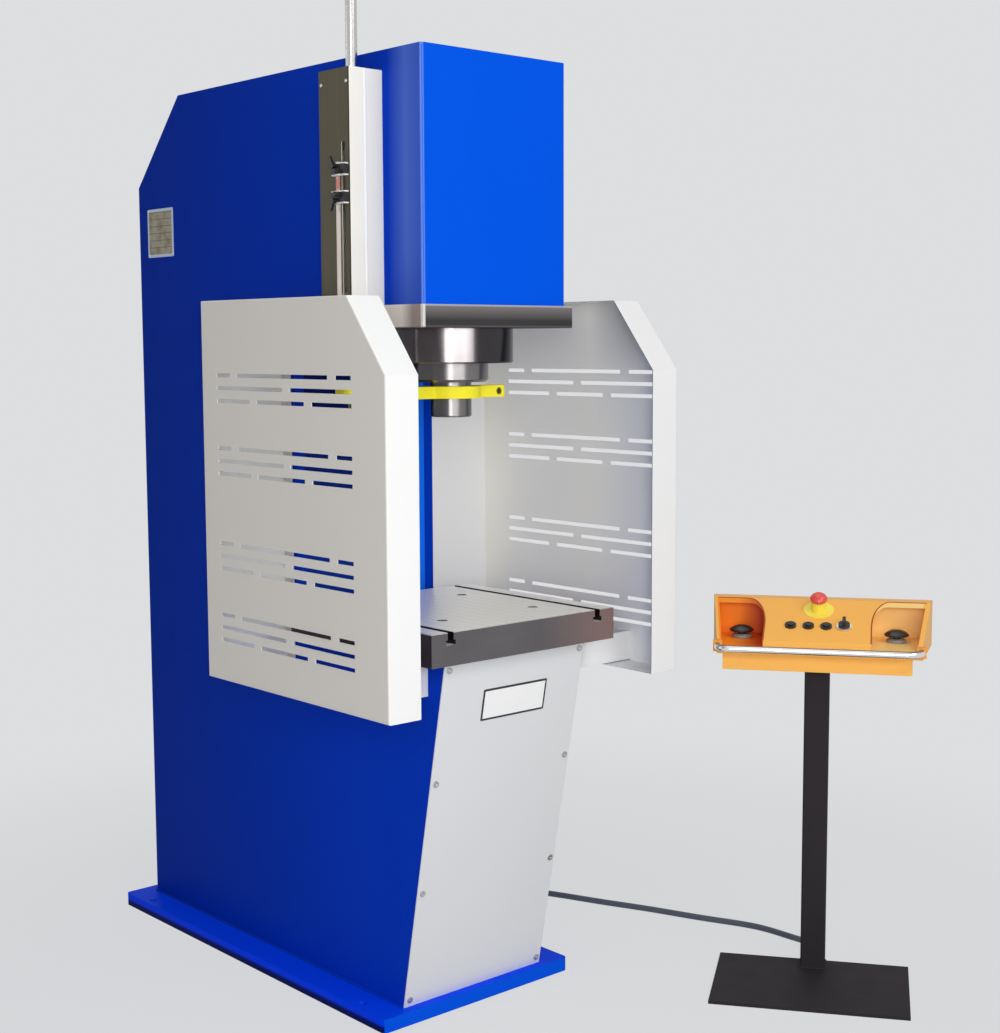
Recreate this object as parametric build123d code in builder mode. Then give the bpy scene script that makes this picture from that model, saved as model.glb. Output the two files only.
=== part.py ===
from build123d import *
import math
import os

os.makedirs("parts", exist_ok=True)

# Hydraulic C-frame press with a two-hand control stand on a cable.
# Millimetres, +Z up. X = 0 is the middle plane, Y = 0 the ram axis, -Y the operator's
# side and Z = 0 the floor.

# C frame
frame_width = 460
side_thickness = 30
frame_height = 2380
head_front_y = -176
frame_rear_y = 1134
rear_chamfer_depth = 230
rear_chamfer_height = 240
throat_y = 358
throat_radius = 60
bed_level = 936
jaw_front_y = -244
foot_front_y = -72
head_plate_thickness = 55
head_height = 600
head_plate_side = 12
head_plate_front = 14
throat_plate_thickness = 30
bed_plate_thickness = 40
cover_sheet = 4
bolt_hole_clearance = 0.25
rear_split_z = 1100
louvre_rows = 8
louvre_pitch = 34
louvre_length = 240
louvre_height = 8
louvre_middle_z = 800

# Base plate and its anchor holes
base_width = 624
base_thickness = 36
base_front_y = -100
base_rear_y = 1177
base_corner_radius = 12
anchor_hole_diameter = 22
anchor_edge_side = 24
anchor_edge_end = 120

# Work table with T-slots to the 18 mm standard size
table_width = 600
table_thickness = 80
table_front_y = -282
table_rear_y = 289
slot_spacing = 484
slot_neck_width = 18
slot_foot_width = 30
slot_foot_height = 12
slot_depth = 30
table_bolt_x = 150
table_bolt_y = 140
table_bolt_diameter = 16
table_bolt_head = 24
table_bolt_sink = 2
table_bolt_side_gap = 1

# Side guards
guard_sheet = 2.5
guard_half_width = 472
guard_lip = 92
guard_front_y = -341
guard_rear_y = 414
guard_top = 1796
guard_bottom = 840
guard_chamfer_depth = 139
guard_chamfer_height = 177
guard_bend_radius = 5
guard_flange = 40
guard_slot_height = 10
guard_slot_line_pitch = 31.5
guard_slot_length = 561
guard_slot_rows = [1580, 1399, 1160, 978]
guard_slot_bridge = 30
left_slot_middle = 64
left_slot_upper_front = 62
left_slot_upper_rear = 60
left_slot_split = 245
left_slot_lower_front = 156
left_slot_lower_rear = 146
right_slot_middle = 24
right_slot_upper_front = 88
right_slot_upper_rear = 67
right_slot_split = 266
right_slot_lower_front = 153
right_slot_lower_rear = 169
bracket_sheet = 5
bracket_flange = 44
bracket_height = 76
bracket_front_y = -181
bracket_z = 846
guard_bolt_diameter = 10
guard_bolt_inset = 120
flange_bolt_share = 0.55
hex_width_ratio = 1.7
hex_height_ratio = 0.65
hex_key_ratio = 0.44
bolt_grip_share = 0.8

# Lower front cover
front_cover_sheet = 3
front_cover_screw_diameter = 8
front_cover_screw_edge = 20
front_screw_rows = 4
flat_head_ratio = 0.4

# Cylinder and ram
bore_diameter = 220
barrel_diameter = 280
cylinder_nose_diameter = 315
cylinder_nose_height = 86
rod_diameter = 190
rod_neck_diameter = 104
rod_shoulder_drop = 47
rod_neck_length = 88
rod_chamfer = 6
tip_chamfer = 3
ram_stroke = 400
running_clearance = 0.1
guide_bush_diameter = 230
guide_bush_height = 90
seal_height = 14
seal_depth = 9
wiper_height = 9
piston_height = 70
piston_rest_gap = 25
piston_ring_height = 12
piston_ring_depth = 8
piston_spigot_diameter = 120
piston_nut_height = 22
piston_nut_diameter = 170
barrel_top_gap = 90
cap_thickness = 50
cap_diameter = 300
cap_bolt_count = 8
cap_bolt_circle = 256
cap_bolt_start = 22.5
cap_bolt_diameter = 16
cap_bolt_grip_ratio = 1.5
cap_bolt_hole_ratio = 2
lock_ring_diameter = 316
lock_ring_height = 35
tool_bore_diameter = 40
tool_bore_depth = 60
port_boss_diameter = 44
port_boss_reach = 172
port_boss_sink = 18
port_diameter = 24
rod_port_rise = 70

# Yellow arm clamped round the ram's neck
arm_thickness = 30
arm_shoulder_gap = 11
arm_width = 52
arm_corner_radius = 12
arm_hub_diameter = 150
arm_end_from_rod = 48
arm_right_x = 165
arm_slit = 4
arm_slit_overrun = 10
arm_screw_from_end = 25
arm_screw_diameter = 12
arm_screw_head = 18
arm_screw_head_height = 8.4
arm_screw_sink = 9.6
arm_screw_grip_share = 0.6
arm_screw_hole_share = 0.8

# Guide rod beside the head, with its trip dog
guide_rod_from_side = 68
guide_rod_diameter = 28
guide_spigot_diameter = 24
guide_rod_clear_of_channel = 30
guide_nut_height = 19
guide_nut_width = 36
guide_spigot_overrun = 8
washer_height = 3
washer_ratio = 1.24
dog_diameter = 48
dog_height = 30
dog_drop = 108
dog_blade_width = 14
dog_blade_reach = 4

# Switch channel on the left side plate
channel_depth_x = 99
channel_front_y = -30
channel_rear_y = 92
channel_head_room = 47
channel_sheet = 2
channel_fold_radius = 1.8
channel_cover_return = 48
channel_overlap = 9
channel_slot_front_y = -11
channel_slot_rear_y = 3
channel_slot_head_room = 169
guide_block_height = 30
switch_rail_gap = 1
switch_rail_width = 16
switch_rail_thickness = 5
switch_rail_bottom_gap = 20
switch_rail_overrun = 4
carrier_height = 30
carrier_thickness = 20
carrier_cover_gap = 1
carrier_front_y = -25
carrier_rear_y = 24
upper_switch_drop = 67
switch_pitch = 65
sensor_offset = 6
sensor_diameter = 12
sensor_length = 30
sensor_nut_width = 17
sensor_nut_height = 4
sensor_tip_gap = 3
clamp_offset = 8
clamp_from_rail_edge = 5
clamp_hub_diameter = 14
clamp_hub_length = 12
clamp_screw_diameter = 8
clamp_arm_length = 22
clamp_arm_width = 7.6
clamp_arm_thickness = 6
clamp_arm_angle = 62
sliding_clearance = 0.2

# Power unit inside the frame
tank_front_y = 470
tank_rear_y = 1090
tank_height = 420
tank_sheet = 4
tank_side_gap = 20
lid_thickness = 12
motor_y = 640
motor_diameter = 230
motor_height = 330
motor_base_height = 30
motor_fin_count = 24
motor_fin_height = 10
motor_fin_thickness = 4
bell_diameter = 170
bell_height = 110
bell_wall = 12
pump_diameter = 120
pump_height = 150
shaft_diameter = 38
shaft_depth = 30
coupling_diameter = 76
coupling_height = 60
block_y = 920
block_size = 130
valve_diameter = 44
valve_length = 60
pipe_diameter = 28
pipe_wall = 3
pipe_bend_radius = 70
pipe_spacing_y = 60

# Electrical cabinet on the right side plate
cabinet_depth = 205
cabinet_front_y = 480
cabinet_rear_y = 1010
cabinet_bottom_z = 930
cabinet_top_z = 1750
cabinet_sheet = 2
cabinet_rim = 18
door_thickness = 20
door_gap = 1
hinge_pin_diameter = 8
hinge_knuckle_diameter = 14
hinge_knuckle_length = 25
hinge_offset = 8
hinge_inset = 120
handle_stem_diameter = 14
handle_depth = 10
main_switch_drop = 150
main_switch_diameter = 60
main_switch_height = 26
main_switch_grip_length = 54
main_switch_grip = 18
lock_inset = 30
lock_diameter = 26
lock_height = 8
gear_plate_gap = 10
gear_plate_thickness = 3
gear_plate_margin = 40
gear_depth = 90
gear_width = 54
gear_height = 110
gear_columns = 4
gear_pitch = 70
gear_rows = 3
gear_row_pitch = 230
cable_gland_from_side = 111
cable_gland_y = 560

# Control stand, turned to face the operator
stand_x = 820
stand_y = -533
stand_turn = -54.5
stand_base_width = 505
stand_base_depth = 345
stand_base_thickness = 8
column_size = 65
column_wall = 3
column_corner = 5
box_bottom_z = 832
box_top_z = 876
box_width = 486
box_depth = 205
desk_sheet = 2
desk_front_width = 525
desk_rear_width = 583
desk_depth = 230
desk_middle = 5
desk_edge_z = 914
desk_top_z = 998
desk_top_depth = 46
pocket_inner_half = 138
pocket_side_wall = 12
pocket_floor_z = 898
pocket_rear_wall = 24
pocket_roof = 12
pocket_corner_radius = 42
rail_diameter = 18
rail_wall = 2
rail_front = 50
rail_corner_inset = 3.5
rail_z = 898
rail_bend_radius = 34
rail_bracket_width = 24
rail_bracket_height = 30
rail_bracket_depth = 12

# Operating elements, set in 22 mm panel holes
panel_hole_clearance = 0.3
neck_diameter = 22
neck_length = 14
stem_diameter = 18
stem_end_gap = 0.3
palm_across = 203
palm_from_middle = 18
palm_cap_diameter = 64
palm_cap_height = 18
palm_collar_diameter = 42
palm_collar_height = 10
palm_travel = 6
button_pitch = 46
button_first_across = -70
button_along = 72
button_bezel_diameter = 30
button_bezel_height = 5
button_travel = 4
button_crown = 1
selector_bezel_diameter = 40
selector_bezel_height = 6
selector_knob_diameter = 30
selector_knob_height = 6
selector_grip_length = 27
selector_grip_width = 9
selector_grip_height = 14
stop_along = 150
stop_plate_diameter = 80
stop_plate_height = 2
stop_collar_diameter = 38
stop_collar_height = 28
stop_head_diameter = 46
stop_head_height = 20
stop_travel = 5
crown_rim_share = 0.28

# Control cable, lying on the floor between its two glands
cable_diameter = 17
gland_nut_width = 28
gland_nut_height = 8
gland_body_diameter = 24
gland_body_height = 14
stand_gland_z = 26
stand_gland_across = -16
cable_run_in = 41.5
cable_bend_share = 0.45


def save(piece, name):
    """Label a finished piece and write it to its own STEP file."""
    piece.part.label = name
    export_step(piece.part, f"parts/{name}.step")


def save_group(pieces, name):
    """Write several finished pieces that belong together as the solids of one file."""
    group = Compound([solid for piece in pieces for solid in piece.solids()])
    group.label = name
    export_step(group, f"parts/{name}.step")


def front_y(level):
    """Y of the frame's slanted front edge at a level below the table."""
    slope = (jaw_front_y - foot_front_y) / (bed_level - base_thickness)
    return foot_front_y + slope * (level - base_thickness)


head_level = frame_height - head_height
half_width = frame_width / 2
inner_half = half_width - side_thickness
side_front_y = head_front_y + cover_sheet
table_level = bed_level + table_thickness
head_plate_z = head_level - head_plate_thickness
channel_bottom_z = head_level
cylinder_nose_z = head_plate_z - cylinder_nose_height
barrel_top_z = frame_height - barrel_top_gap
rod_port_z = head_level + rod_port_rise
rod_shoulder_z = cylinder_nose_z - rod_shoulder_drop
rod_tip_z = rod_shoulder_z - rod_neck_length
arm_top_z = rod_shoulder_z - arm_shoulder_gap
guide_rod_x = -half_width - guide_rod_from_side
channel_top_z = frame_height - channel_head_room


# Base plate, a plain plate with rounded corners and four anchor holes
anchor_span_x = base_width - 2 * anchor_edge_side
anchor_span_y = base_rear_y - base_front_y - 2 * anchor_edge_end
base_middle_y = (base_front_y + base_rear_y) / 2
with BuildPart() as base_plate:
    with BuildSketch():
        with Locations((0, base_middle_y)):
            RectangleRounded(base_width, base_rear_y - base_front_y, base_corner_radius)
            with GridLocations(anchor_span_x, anchor_span_y, 2, 2):
                Circle(anchor_hole_diameter / 2, mode=Mode.SUBTRACT)
    extrude(amount=base_thickness)
save(base_plate, "base_plate")


# Side plates, flame-cut C outlines with the bolt holes of their attachments
bracket_bolt_y = bracket_front_y + bracket_sheet + bracket_flange * flange_bolt_share
bracket_bolt_rise = bracket_height / 4
bracket_middle_z = bracket_z + bracket_height / 2
bracket_bolt_z = [bracket_middle_z - bracket_bolt_rise, bracket_middle_z + bracket_bolt_rise]
guard_flange_bolt_y = guard_rear_y - guard_flange * flange_bolt_share
guard_flange_bolt_z = [guard_bottom + guard_bolt_inset, guard_top - guard_bolt_inset]
guard_bolt_places = [(bracket_bolt_y, z) for z in bracket_bolt_z]
guard_bolt_places += [(guard_flange_bolt_y, z) for z in guard_flange_bolt_z]


def side_plate(inner_x):
    """One C-shaped side plate, its inner face on the plane X = inner_x, growing to +X."""
    with BuildPart() as plate:
        with BuildSketch(Plane.YZ.offset(inner_x)):
            with BuildLine():
                Polyline(
                    (foot_front_y, base_thickness),
                    (jaw_front_y, bed_level),
                    (throat_y - throat_radius, bed_level),
                )
                RadiusArc(
                    (throat_y - throat_radius, bed_level),
                    (throat_y, bed_level + throat_radius),
                    -throat_radius,
                )
                Polyline(
                    (throat_y, bed_level + throat_radius),
                    (throat_y, head_level),
                    (side_front_y, head_level),
                    (side_front_y, frame_height),
                    (frame_rear_y - rear_chamfer_depth, frame_height),
                    (frame_rear_y, frame_height - rear_chamfer_height),
                    (frame_rear_y, base_thickness),
                    (foot_front_y, base_thickness),
                )
            make_face()
            with Locations(*guard_bolt_places):
                Circle(guard_bolt_diameter / 2 + bolt_hole_clearance, mode=Mode.SUBTRACT)
        extrude(amount=side_thickness)
    return plate


save(side_plate(-half_width), "left_side_plate")
save(side_plate(inner_half), "right_side_plate")


# Throat back plate, between the side plates from the bed to the head
with BuildPart() as throat_plate:
    with BuildSketch(Plane.XZ.offset(-throat_y)):
        with Locations((0, (bed_level - bed_plate_thickness + head_level) / 2)):
            Rectangle(2 * inner_half, head_level - bed_level + bed_plate_thickness)
    extrude(amount=-throat_plate_thickness)
save(throat_plate, "throat_plate")


# Bed plate under the table, tapped for the table bolts
bed_front_y = front_y(bed_level - bed_plate_thickness)
with BuildPart() as bed_plate:
    with BuildSketch(Plane.XY.offset(bed_level)):
        with Locations((0, (bed_front_y + throat_y) / 2)):
            Rectangle(2 * inner_half, throat_y - bed_front_y)
        with GridLocations(2 * table_bolt_x, 2 * table_bolt_y, 2, 2):
            Circle(table_bolt_diameter / 2 + bolt_hole_clearance, mode=Mode.SUBTRACT)
    extrude(amount=-bed_plate_thickness)
save(bed_plate, "bed_plate")


# Head plate, machined all over and bored for the cylinder
head_plate_front_y = head_front_y - head_plate_front
with BuildPart() as head_plate:
    with BuildSketch(Plane.XY.offset(head_plate_z)):
        with Locations((0, (head_plate_front_y + throat_y) / 2)):
            Rectangle(frame_width + 2 * head_plate_side, throat_y - head_plate_front_y)
        Circle(barrel_diameter / 2 + running_clearance, mode=Mode.SUBTRACT)
    extrude(amount=head_plate_thickness)
    chamfer(head_plate.faces().sort_by(Axis.Z)[0].outer_wire().edges(), 2)
save(head_plate, "head_plate")


# Head front cover and top cover
with BuildPart() as head_cover:
    with BuildSketch(Plane.XZ.offset(-side_front_y)):
        with Locations((0, (head_level + frame_height) / 2)):
            RectangleRounded(frame_width - 2 * cover_sheet, frame_height - head_level, 3)
    extrude(amount=cover_sheet)
save(head_cover, "head_cover")

with BuildPart() as top_cover:
    with BuildSketch(Plane.XY.offset(frame_height)):
        with Locations((0, (side_front_y + frame_rear_y - rear_chamfer_depth) / 2)):
            Rectangle(2 * inner_half, frame_rear_y - rear_chamfer_depth - side_front_y)
    extrude(amount=-cover_sheet)


# Rear covers, the upper one folded along the frame's chamfer, the lower one with louvres
chamfer_turn = math.atan2(rear_chamfer_height, rear_chamfer_depth)
fold_shift = cover_sheet * math.tan((math.pi / 2 - chamfer_turn) / 2)
slope_shift = cover_sheet / math.sin(chamfer_turn)
slope_start_y = frame_rear_y - rear_chamfer_depth
slope_start_z = frame_height - cover_sheet
slope_start_in_y = slope_start_y + cover_sheet / math.tan(chamfer_turn)
with BuildPart() as rear_upper_cover:
    with BuildSketch(Plane.YZ.offset(-inner_half)):
        with BuildLine():
            Polyline(
                (frame_rear_y, rear_split_z),
                (frame_rear_y, frame_height - rear_chamfer_height),
                (slope_start_in_y, slope_start_z),
                (slope_start_in_y - slope_shift, slope_start_z),
                (frame_rear_y - cover_sheet, frame_height - rear_chamfer_height - fold_shift),
                (frame_rear_y - cover_sheet, rear_split_z),
                (frame_rear_y, rear_split_z),
            )
        make_face()
    extrude(amount=2 * inner_half)

rear_cover_middle_z = (base_thickness + rear_split_z) / 2
with BuildPart() as rear_lower_cover:
    with BuildSketch(Plane.XZ.offset(-frame_rear_y)):
        with Locations((0, rear_cover_middle_z)):
            Rectangle(2 * inner_half, rear_split_z - base_thickness)
        with Locations((0, louvre_middle_z)):
            with GridLocations(0, louvre_pitch, 1, louvre_rows):
                Rectangle(louvre_length, louvre_height, mode=Mode.SUBTRACT)
    extrude(amount=cover_sheet)
save_group([top_cover, rear_upper_cover, rear_lower_cover], "frame_covers")


# Lower front cover, laid on the slanted front edges of the side plates
front_slant = math.atan2(foot_front_y - jaw_front_y, bed_level - base_thickness)
front_normal = Vector(0, -math.cos(front_slant), -math.sin(front_slant))
front_foot = Vector(0, foot_front_y, base_thickness)
front_plane = Plane(origin=front_foot, x_dir=(1, 0, 0), z_dir=front_normal)
front_length = (bed_level - base_thickness) / math.cos(front_slant)
front_cover_trim = front_cover_sheet * math.tan(front_slant)
front_cover_length = front_length - front_cover_trim
front_screw_x = half_width - side_thickness / 2
front_screw_pitch = (front_cover_length - 2 * front_cover_screw_edge) / (front_screw_rows - 1)
with BuildPart() as lower_front_cover:
    with BuildSketch(front_plane):
        with Locations((0, (front_cover_trim + front_length) / 2)):
            Rectangle(frame_width, front_cover_length)
            with GridLocations(2 * front_screw_x, front_screw_pitch, 2, front_screw_rows):
                Circle(front_cover_screw_diameter / 2 + bolt_hole_clearance, mode=Mode.SUBTRACT)
    extrude(amount=front_cover_sheet)
save(lower_front_cover, "lower_front_cover")


# Work table with two T-slots along Y and counterbores for its four bolts
def t_slot(across, level):
    """Outline of one T-slot, open at the top, in a plane that looks along the table."""
    foot_z = level - slot_depth
    neck_z = foot_z + slot_foot_height
    with BuildSketch(Plane.XZ.offset(-table_rear_y)) as outline:
        with Locations((across, (foot_z + neck_z) / 2)):
            Rectangle(slot_foot_width, slot_foot_height)
        with Locations((across, (neck_z + level) / 2)):
            Rectangle(slot_neck_width, level - neck_z)
    return outline.sketch


table_length = table_rear_y - table_front_y
with BuildPart() as work_table:
    with BuildSketch(Plane.XY.offset(bed_level)):
        with Locations((0, (table_front_y + table_rear_y) / 2)):
            Rectangle(table_width, table_length)
    extrude(amount=table_thickness)
    chamfer(work_table.faces().sort_by(Axis.Z)[-1].edges(), 1.5)
    for across in (-slot_spacing / 2, slot_spacing / 2):
        extrude(t_slot(across, table_level), amount=table_length, mode=Mode.SUBTRACT)
    with Locations(Plane.XY.offset(table_level)):
        with GridLocations(2 * table_bolt_x, 2 * table_bolt_y, 2, 2):
            CounterBoreHole(
                radius=table_bolt_diameter / 2 + bolt_hole_clearance,
                counter_bore_radius=table_bolt_head / 2 + table_bolt_side_gap,
                counter_bore_depth=table_bolt_diameter + table_bolt_sink,
            )
save(work_table, "work_table")


# Side guards, folded trays with lips all round, a rear panel that reaches the frame and
# three lines of slots in each of four rows
def slot_spans(middle, upper_front, upper_rear, split, lower_front, lower_rear):
    """Start and end Y of each slot, for the three lines of a row."""
    front = middle - guard_slot_length / 2
    rear = middle + guard_slot_length / 2
    bridge = guard_slot_bridge
    upper_cut = front + upper_front
    upper_end = rear - upper_rear
    middle_cut = front + split
    lower_cut = front + lower_front
    lower_end = rear - lower_rear
    upper = [(front, upper_cut), (upper_cut + bridge, upper_end - bridge), (upper_end, rear)]
    centre = [(front, middle_cut), (middle_cut + bridge, rear)]
    lower = [(front, lower_cut), (lower_cut + bridge, lower_end - bridge), (lower_end, rear)]
    return [upper, centre, lower]


guard_outline = [
    (guard_front_y, guard_bottom),
    (guard_front_y, guard_top - guard_chamfer_height),
    (guard_front_y + guard_chamfer_depth, guard_top),
    (guard_rear_y, guard_top),
    (guard_rear_y, guard_bottom),
]
guard_height = guard_top - guard_bottom
guard_middle_z = (guard_top + guard_bottom) / 2


def guard(side, slot_lines):
    """One guard; side is -1 for the left one and 1 for the right one."""
    lip_x = side * (guard_half_width - guard_lip)
    with BuildPart() as tray:
        with BuildSketch(Plane.YZ.offset(lip_x)):
            with BuildLine():
                Polyline(*guard_outline, close=True)
            make_face()
        extrude(amount=side * guard_lip)
        outer = tray.faces().sort_by(Axis.X)[-1 if side > 0 else 0]
        fillet(outer.edges(), guard_bend_radius)
        inner = tray.faces().sort_by(Axis.X)[0 if side > 0 else -1]
        offset(amount=-guard_sheet, openings=inner)
        with BuildSketch(Plane.XZ.offset(-guard_rear_y)):
            with Locations(((lip_x + side * half_width) / 2, guard_middle_z)):
                Rectangle(abs(lip_x) - half_width, guard_height)
        extrude(amount=guard_sheet)
        with BuildSketch(Plane.YZ.offset(side * half_width)):
            with Locations((guard_rear_y - guard_flange / 2, guard_middle_z)):
                Rectangle(guard_flange, guard_height)
            with Locations(*[(guard_flange_bolt_y, z) for z in guard_flange_bolt_z]):
                Circle(guard_bolt_diameter / 2 + bolt_hole_clearance, mode=Mode.SUBTRACT)
        extrude(amount=side * guard_sheet)
        with BuildSketch(Plane.YZ.offset(side * (guard_half_width + guard_sheet))):
            for row_z in guard_slot_rows:
                for line, spans in enumerate(slot_lines):
                    line_z = row_z + (1 - line) * guard_slot_line_pitch
                    for start, end in spans:
                        with Locations(((start + end) / 2, line_z)):
                            Rectangle(end - start, guard_slot_height)
        extrude(amount=-side * 3 * guard_sheet, mode=Mode.SUBTRACT)
    return tray


left_slot_lines = slot_spans(
    left_slot_middle,
    left_slot_upper_front,
    left_slot_upper_rear,
    left_slot_split,
    left_slot_lower_front,
    left_slot_lower_rear,
)
right_slot_lines = slot_spans(
    right_slot_middle,
    right_slot_upper_front,
    right_slot_upper_rear,
    right_slot_split,
    right_slot_lower_front,
    right_slot_lower_rear,
)
save(guard(-1, left_slot_lines), "left_guard")
save(guard(1, right_slot_lines), "right_guard")


# Guard brackets, folded from flat bar: a web with a flange on the frame and one on the guard
guard_inner_x = guard_half_width - guard_sheet
with BuildPart() as guard_brackets:
    for side in (-1, 1):
        with BuildSketch(Plane.XY.offset(bracket_z)):
            web_x = side * (half_width + guard_inner_x) / 2
            with Locations((web_x, bracket_front_y + bracket_sheet / 2)):
                Rectangle(guard_inner_x - half_width, bracket_sheet)
            for flange_x in (half_width + bracket_sheet / 2, guard_inner_x - bracket_sheet / 2):
                with Locations((side * flange_x, bracket_front_y + bracket_flange / 2)):
                    Rectangle(bracket_sheet, bracket_flange)
        extrude(amount=bracket_height)
        with BuildSketch(Plane.YZ.offset(side * half_width)):
            with Locations(*[(bracket_bolt_y, z) for z in bracket_bolt_z]):
                Circle(guard_bolt_diameter / 2 + bolt_hole_clearance)
        extrude(amount=side * bracket_sheet, mode=Mode.SUBTRACT)
save(guard_brackets, "guard_brackets")


# Bolts: hexagon heads sit flat on what they hold, shanks run clear in their holes
def hex_bolt(seat, diameter, length):
    """One bolt: head above the seat plane, shank below it."""
    with BuildPart() as bolt:
        with BuildSketch(seat):
            RegularPolygon(diameter * hex_width_ratio / 2, 6, major_radius=False)
        extrude(amount=diameter * hex_height_ratio)
        with BuildSketch(seat):
            Circle(diameter / 2)
        extrude(amount=-length)
    return bolt.part


def guard_bolt_set():
    """Bolts through the guard brackets and the guards' rear flanges."""
    with BuildPart() as bolts:
        for side in (-1, 1):
            for y, z in guard_bolt_places:
                sheet = bracket_sheet if y == bracket_bolt_y else guard_sheet
                seat = Plane(
                    origin=(side * (half_width + sheet), y, z),
                    x_dir=(0, 1, 0),
                    z_dir=(side, 0, 0),
                )
                add(hex_bolt(seat, guard_bolt_diameter, side_thickness * bolt_grip_share))
    return bolts.part


def socket_bolt(seat, head_diameter, head_height, shank_diameter, length):
    """Socket-head bolt: its head stands on the seat plane, its shank goes below it."""
    with BuildPart() as bolt:
        with BuildSketch(seat):
            Circle(head_diameter / 2)
        extrude(amount=head_height)
        with BuildSketch(seat):
            Circle(shank_diameter / 2)
        extrude(amount=-length)
        with BuildSketch(seat.offset(head_height)):
            RegularPolygon(shank_diameter * hex_key_ratio, 6)
        extrude(amount=-head_height / 2, mode=Mode.SUBTRACT)
    return bolt.part


def table_bolt_set():
    """Socket-head bolts in the table's counterbores."""
    head_seat_z = table_level - table_bolt_diameter - table_bolt_sink
    length = head_seat_z - bed_level + bed_plate_thickness * bolt_grip_share
    with BuildPart() as bolts:
        for x in (-table_bolt_x, table_bolt_x):
            for y in (-table_bolt_y, table_bolt_y):
                seat = Plane(origin=(x, y, head_seat_z), z_dir=(0, 0, 1))
                head = table_bolt_diameter
                add(socket_bolt(seat, table_bolt_head, head, table_bolt_diameter, length))
    return bolts.part


def front_screw_set():
    """Screws that hold the lower front cover to the side plates."""
    diameter = front_cover_screw_diameter
    middle = (front_cover_trim + front_length) / 2
    with BuildPart() as screws:
        for x in (-front_screw_x, front_screw_x):
            for row in range(front_screw_rows):
                along = middle + (row - (front_screw_rows - 1) / 2) * front_screw_pitch
                spot = front_plane.from_local_coords(Vector(x, along, front_cover_sheet))
                seat = Plane(origin=spot, x_dir=front_plane.x_dir, z_dir=front_plane.z_dir)
                head = diameter * flat_head_ratio
                add(socket_bolt(seat, 2 * diameter, head, diameter, front_cover_sheet))
    return screws.part


def cap_bolt_set():
    """Bolts that hold the end cap on the cylinder."""
    cap_top_z = barrel_top_z + cap_thickness
    length = cap_thickness + cap_bolt_grip_ratio * cap_bolt_diameter
    with BuildPart() as bolts:
        for place in PolarLocations(cap_bolt_circle / 2, cap_bolt_count, cap_bolt_start).locations:
            seat = Plane(origin=place.position + Vector(0, 0, cap_top_z), z_dir=(0, 0, 1))
            add(hex_bolt(seat, cap_bolt_diameter, length))
    return bolts.part


with BuildPart() as frame_bolts:
    add(guard_bolt_set())
    add(table_bolt_set())
    add(front_screw_set())
    add(cap_bolt_set())
save(frame_bolts, "frame_bolts")


# Cylinder barrel: a shouldered nose under the head plate, the barrel above it
barrel_r = barrel_diameter / 2
bore_r = bore_diameter / 2
nose_r = cylinder_nose_diameter / 2
bush_r = guide_bush_diameter / 2
bush_top_z = cylinder_nose_z + guide_bush_height
cap_port_z = barrel_top_z + cap_thickness / 2


def port_boss(level, start_y):
    """Round boss behind the cylinder, from start_y to its sealing face, with a port hole."""
    with BuildPart() as boss:
        with BuildSketch(Plane.XZ.offset(-port_boss_reach)):
            with Locations((0, level)):
                Circle(port_boss_diameter / 2)
        extrude(amount=port_boss_reach - start_y)
    return boss.part


with BuildPart() as cylinder_barrel:
    with BuildSketch(Plane.XZ):
        with BuildLine():
            Polyline(
                (bush_r, cylinder_nose_z),
                (nose_r - 3, cylinder_nose_z),
                (nose_r, cylinder_nose_z + 3),
                (nose_r, head_plate_z),
                (barrel_r, head_plate_z),
                (barrel_r, barrel_top_z),
                (bore_r, barrel_top_z),
                (bore_r, bush_top_z),
                (bush_r, bush_top_z),
                close=True,
            )
        make_face()
    revolve(axis=Axis.Z)
    with BuildSketch(Plane.XY.offset(barrel_top_z)):
        with PolarLocations(cap_bolt_circle / 2, cap_bolt_count, cap_bolt_start):
            Circle(cap_bolt_diameter / 2 + bolt_hole_clearance)
    extrude(amount=-cap_bolt_hole_ratio * cap_bolt_diameter, mode=Mode.SUBTRACT)
    add(port_boss(rod_port_z, barrel_r - port_boss_sink))
    with BuildSketch(Plane.XZ.offset(-port_boss_reach)):
        with Locations((0, rod_port_z)):
            Circle(port_diameter / 2)
    extrude(amount=port_boss_reach - barrel_r + port_boss_sink, mode=Mode.SUBTRACT)
save(cylinder_barrel, "cylinder_barrel")

with BuildPart() as cylinder_cap:
    with BuildSketch(Plane.XY.offset(barrel_top_z)):
        Circle(cap_diameter / 2)
    extrude(amount=cap_thickness)
    chamfer(cylinder_cap.faces().sort_by(Axis.Z)[-1].edges(), 2)
    with BuildSketch(Plane.XY.offset(barrel_top_z)):
        Circle(bore_r - running_clearance)
    extrude(amount=-piston_rest_gap / 2)
    add(port_boss(cap_port_z, cap_diameter / 2 - port_boss_sink))
    with BuildSketch(Plane.XZ.offset(-port_boss_reach)):
        with Locations((0, cap_port_z)):
            Circle(port_diameter / 2)
    extrude(amount=port_boss_reach - cap_diameter / 2 + port_boss_sink, mode=Mode.SUBTRACT)
    with BuildSketch(Plane.XY.offset(barrel_top_z)):
        with PolarLocations(cap_bolt_circle / 2, cap_bolt_count, cap_bolt_start):
            Circle(cap_bolt_diameter / 2 + bolt_hole_clearance)
    extrude(amount=cap_thickness, mode=Mode.SUBTRACT)
save(cylinder_cap, "cylinder_cap")

with BuildPart() as lock_ring:
    with BuildSketch(Plane.XY.offset(head_level)):
        Circle(lock_ring_diameter / 2)
        Circle(barrel_r + running_clearance, mode=Mode.SUBTRACT)
    extrude(amount=lock_ring_height)
save(lock_ring, "lock_ring")


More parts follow.
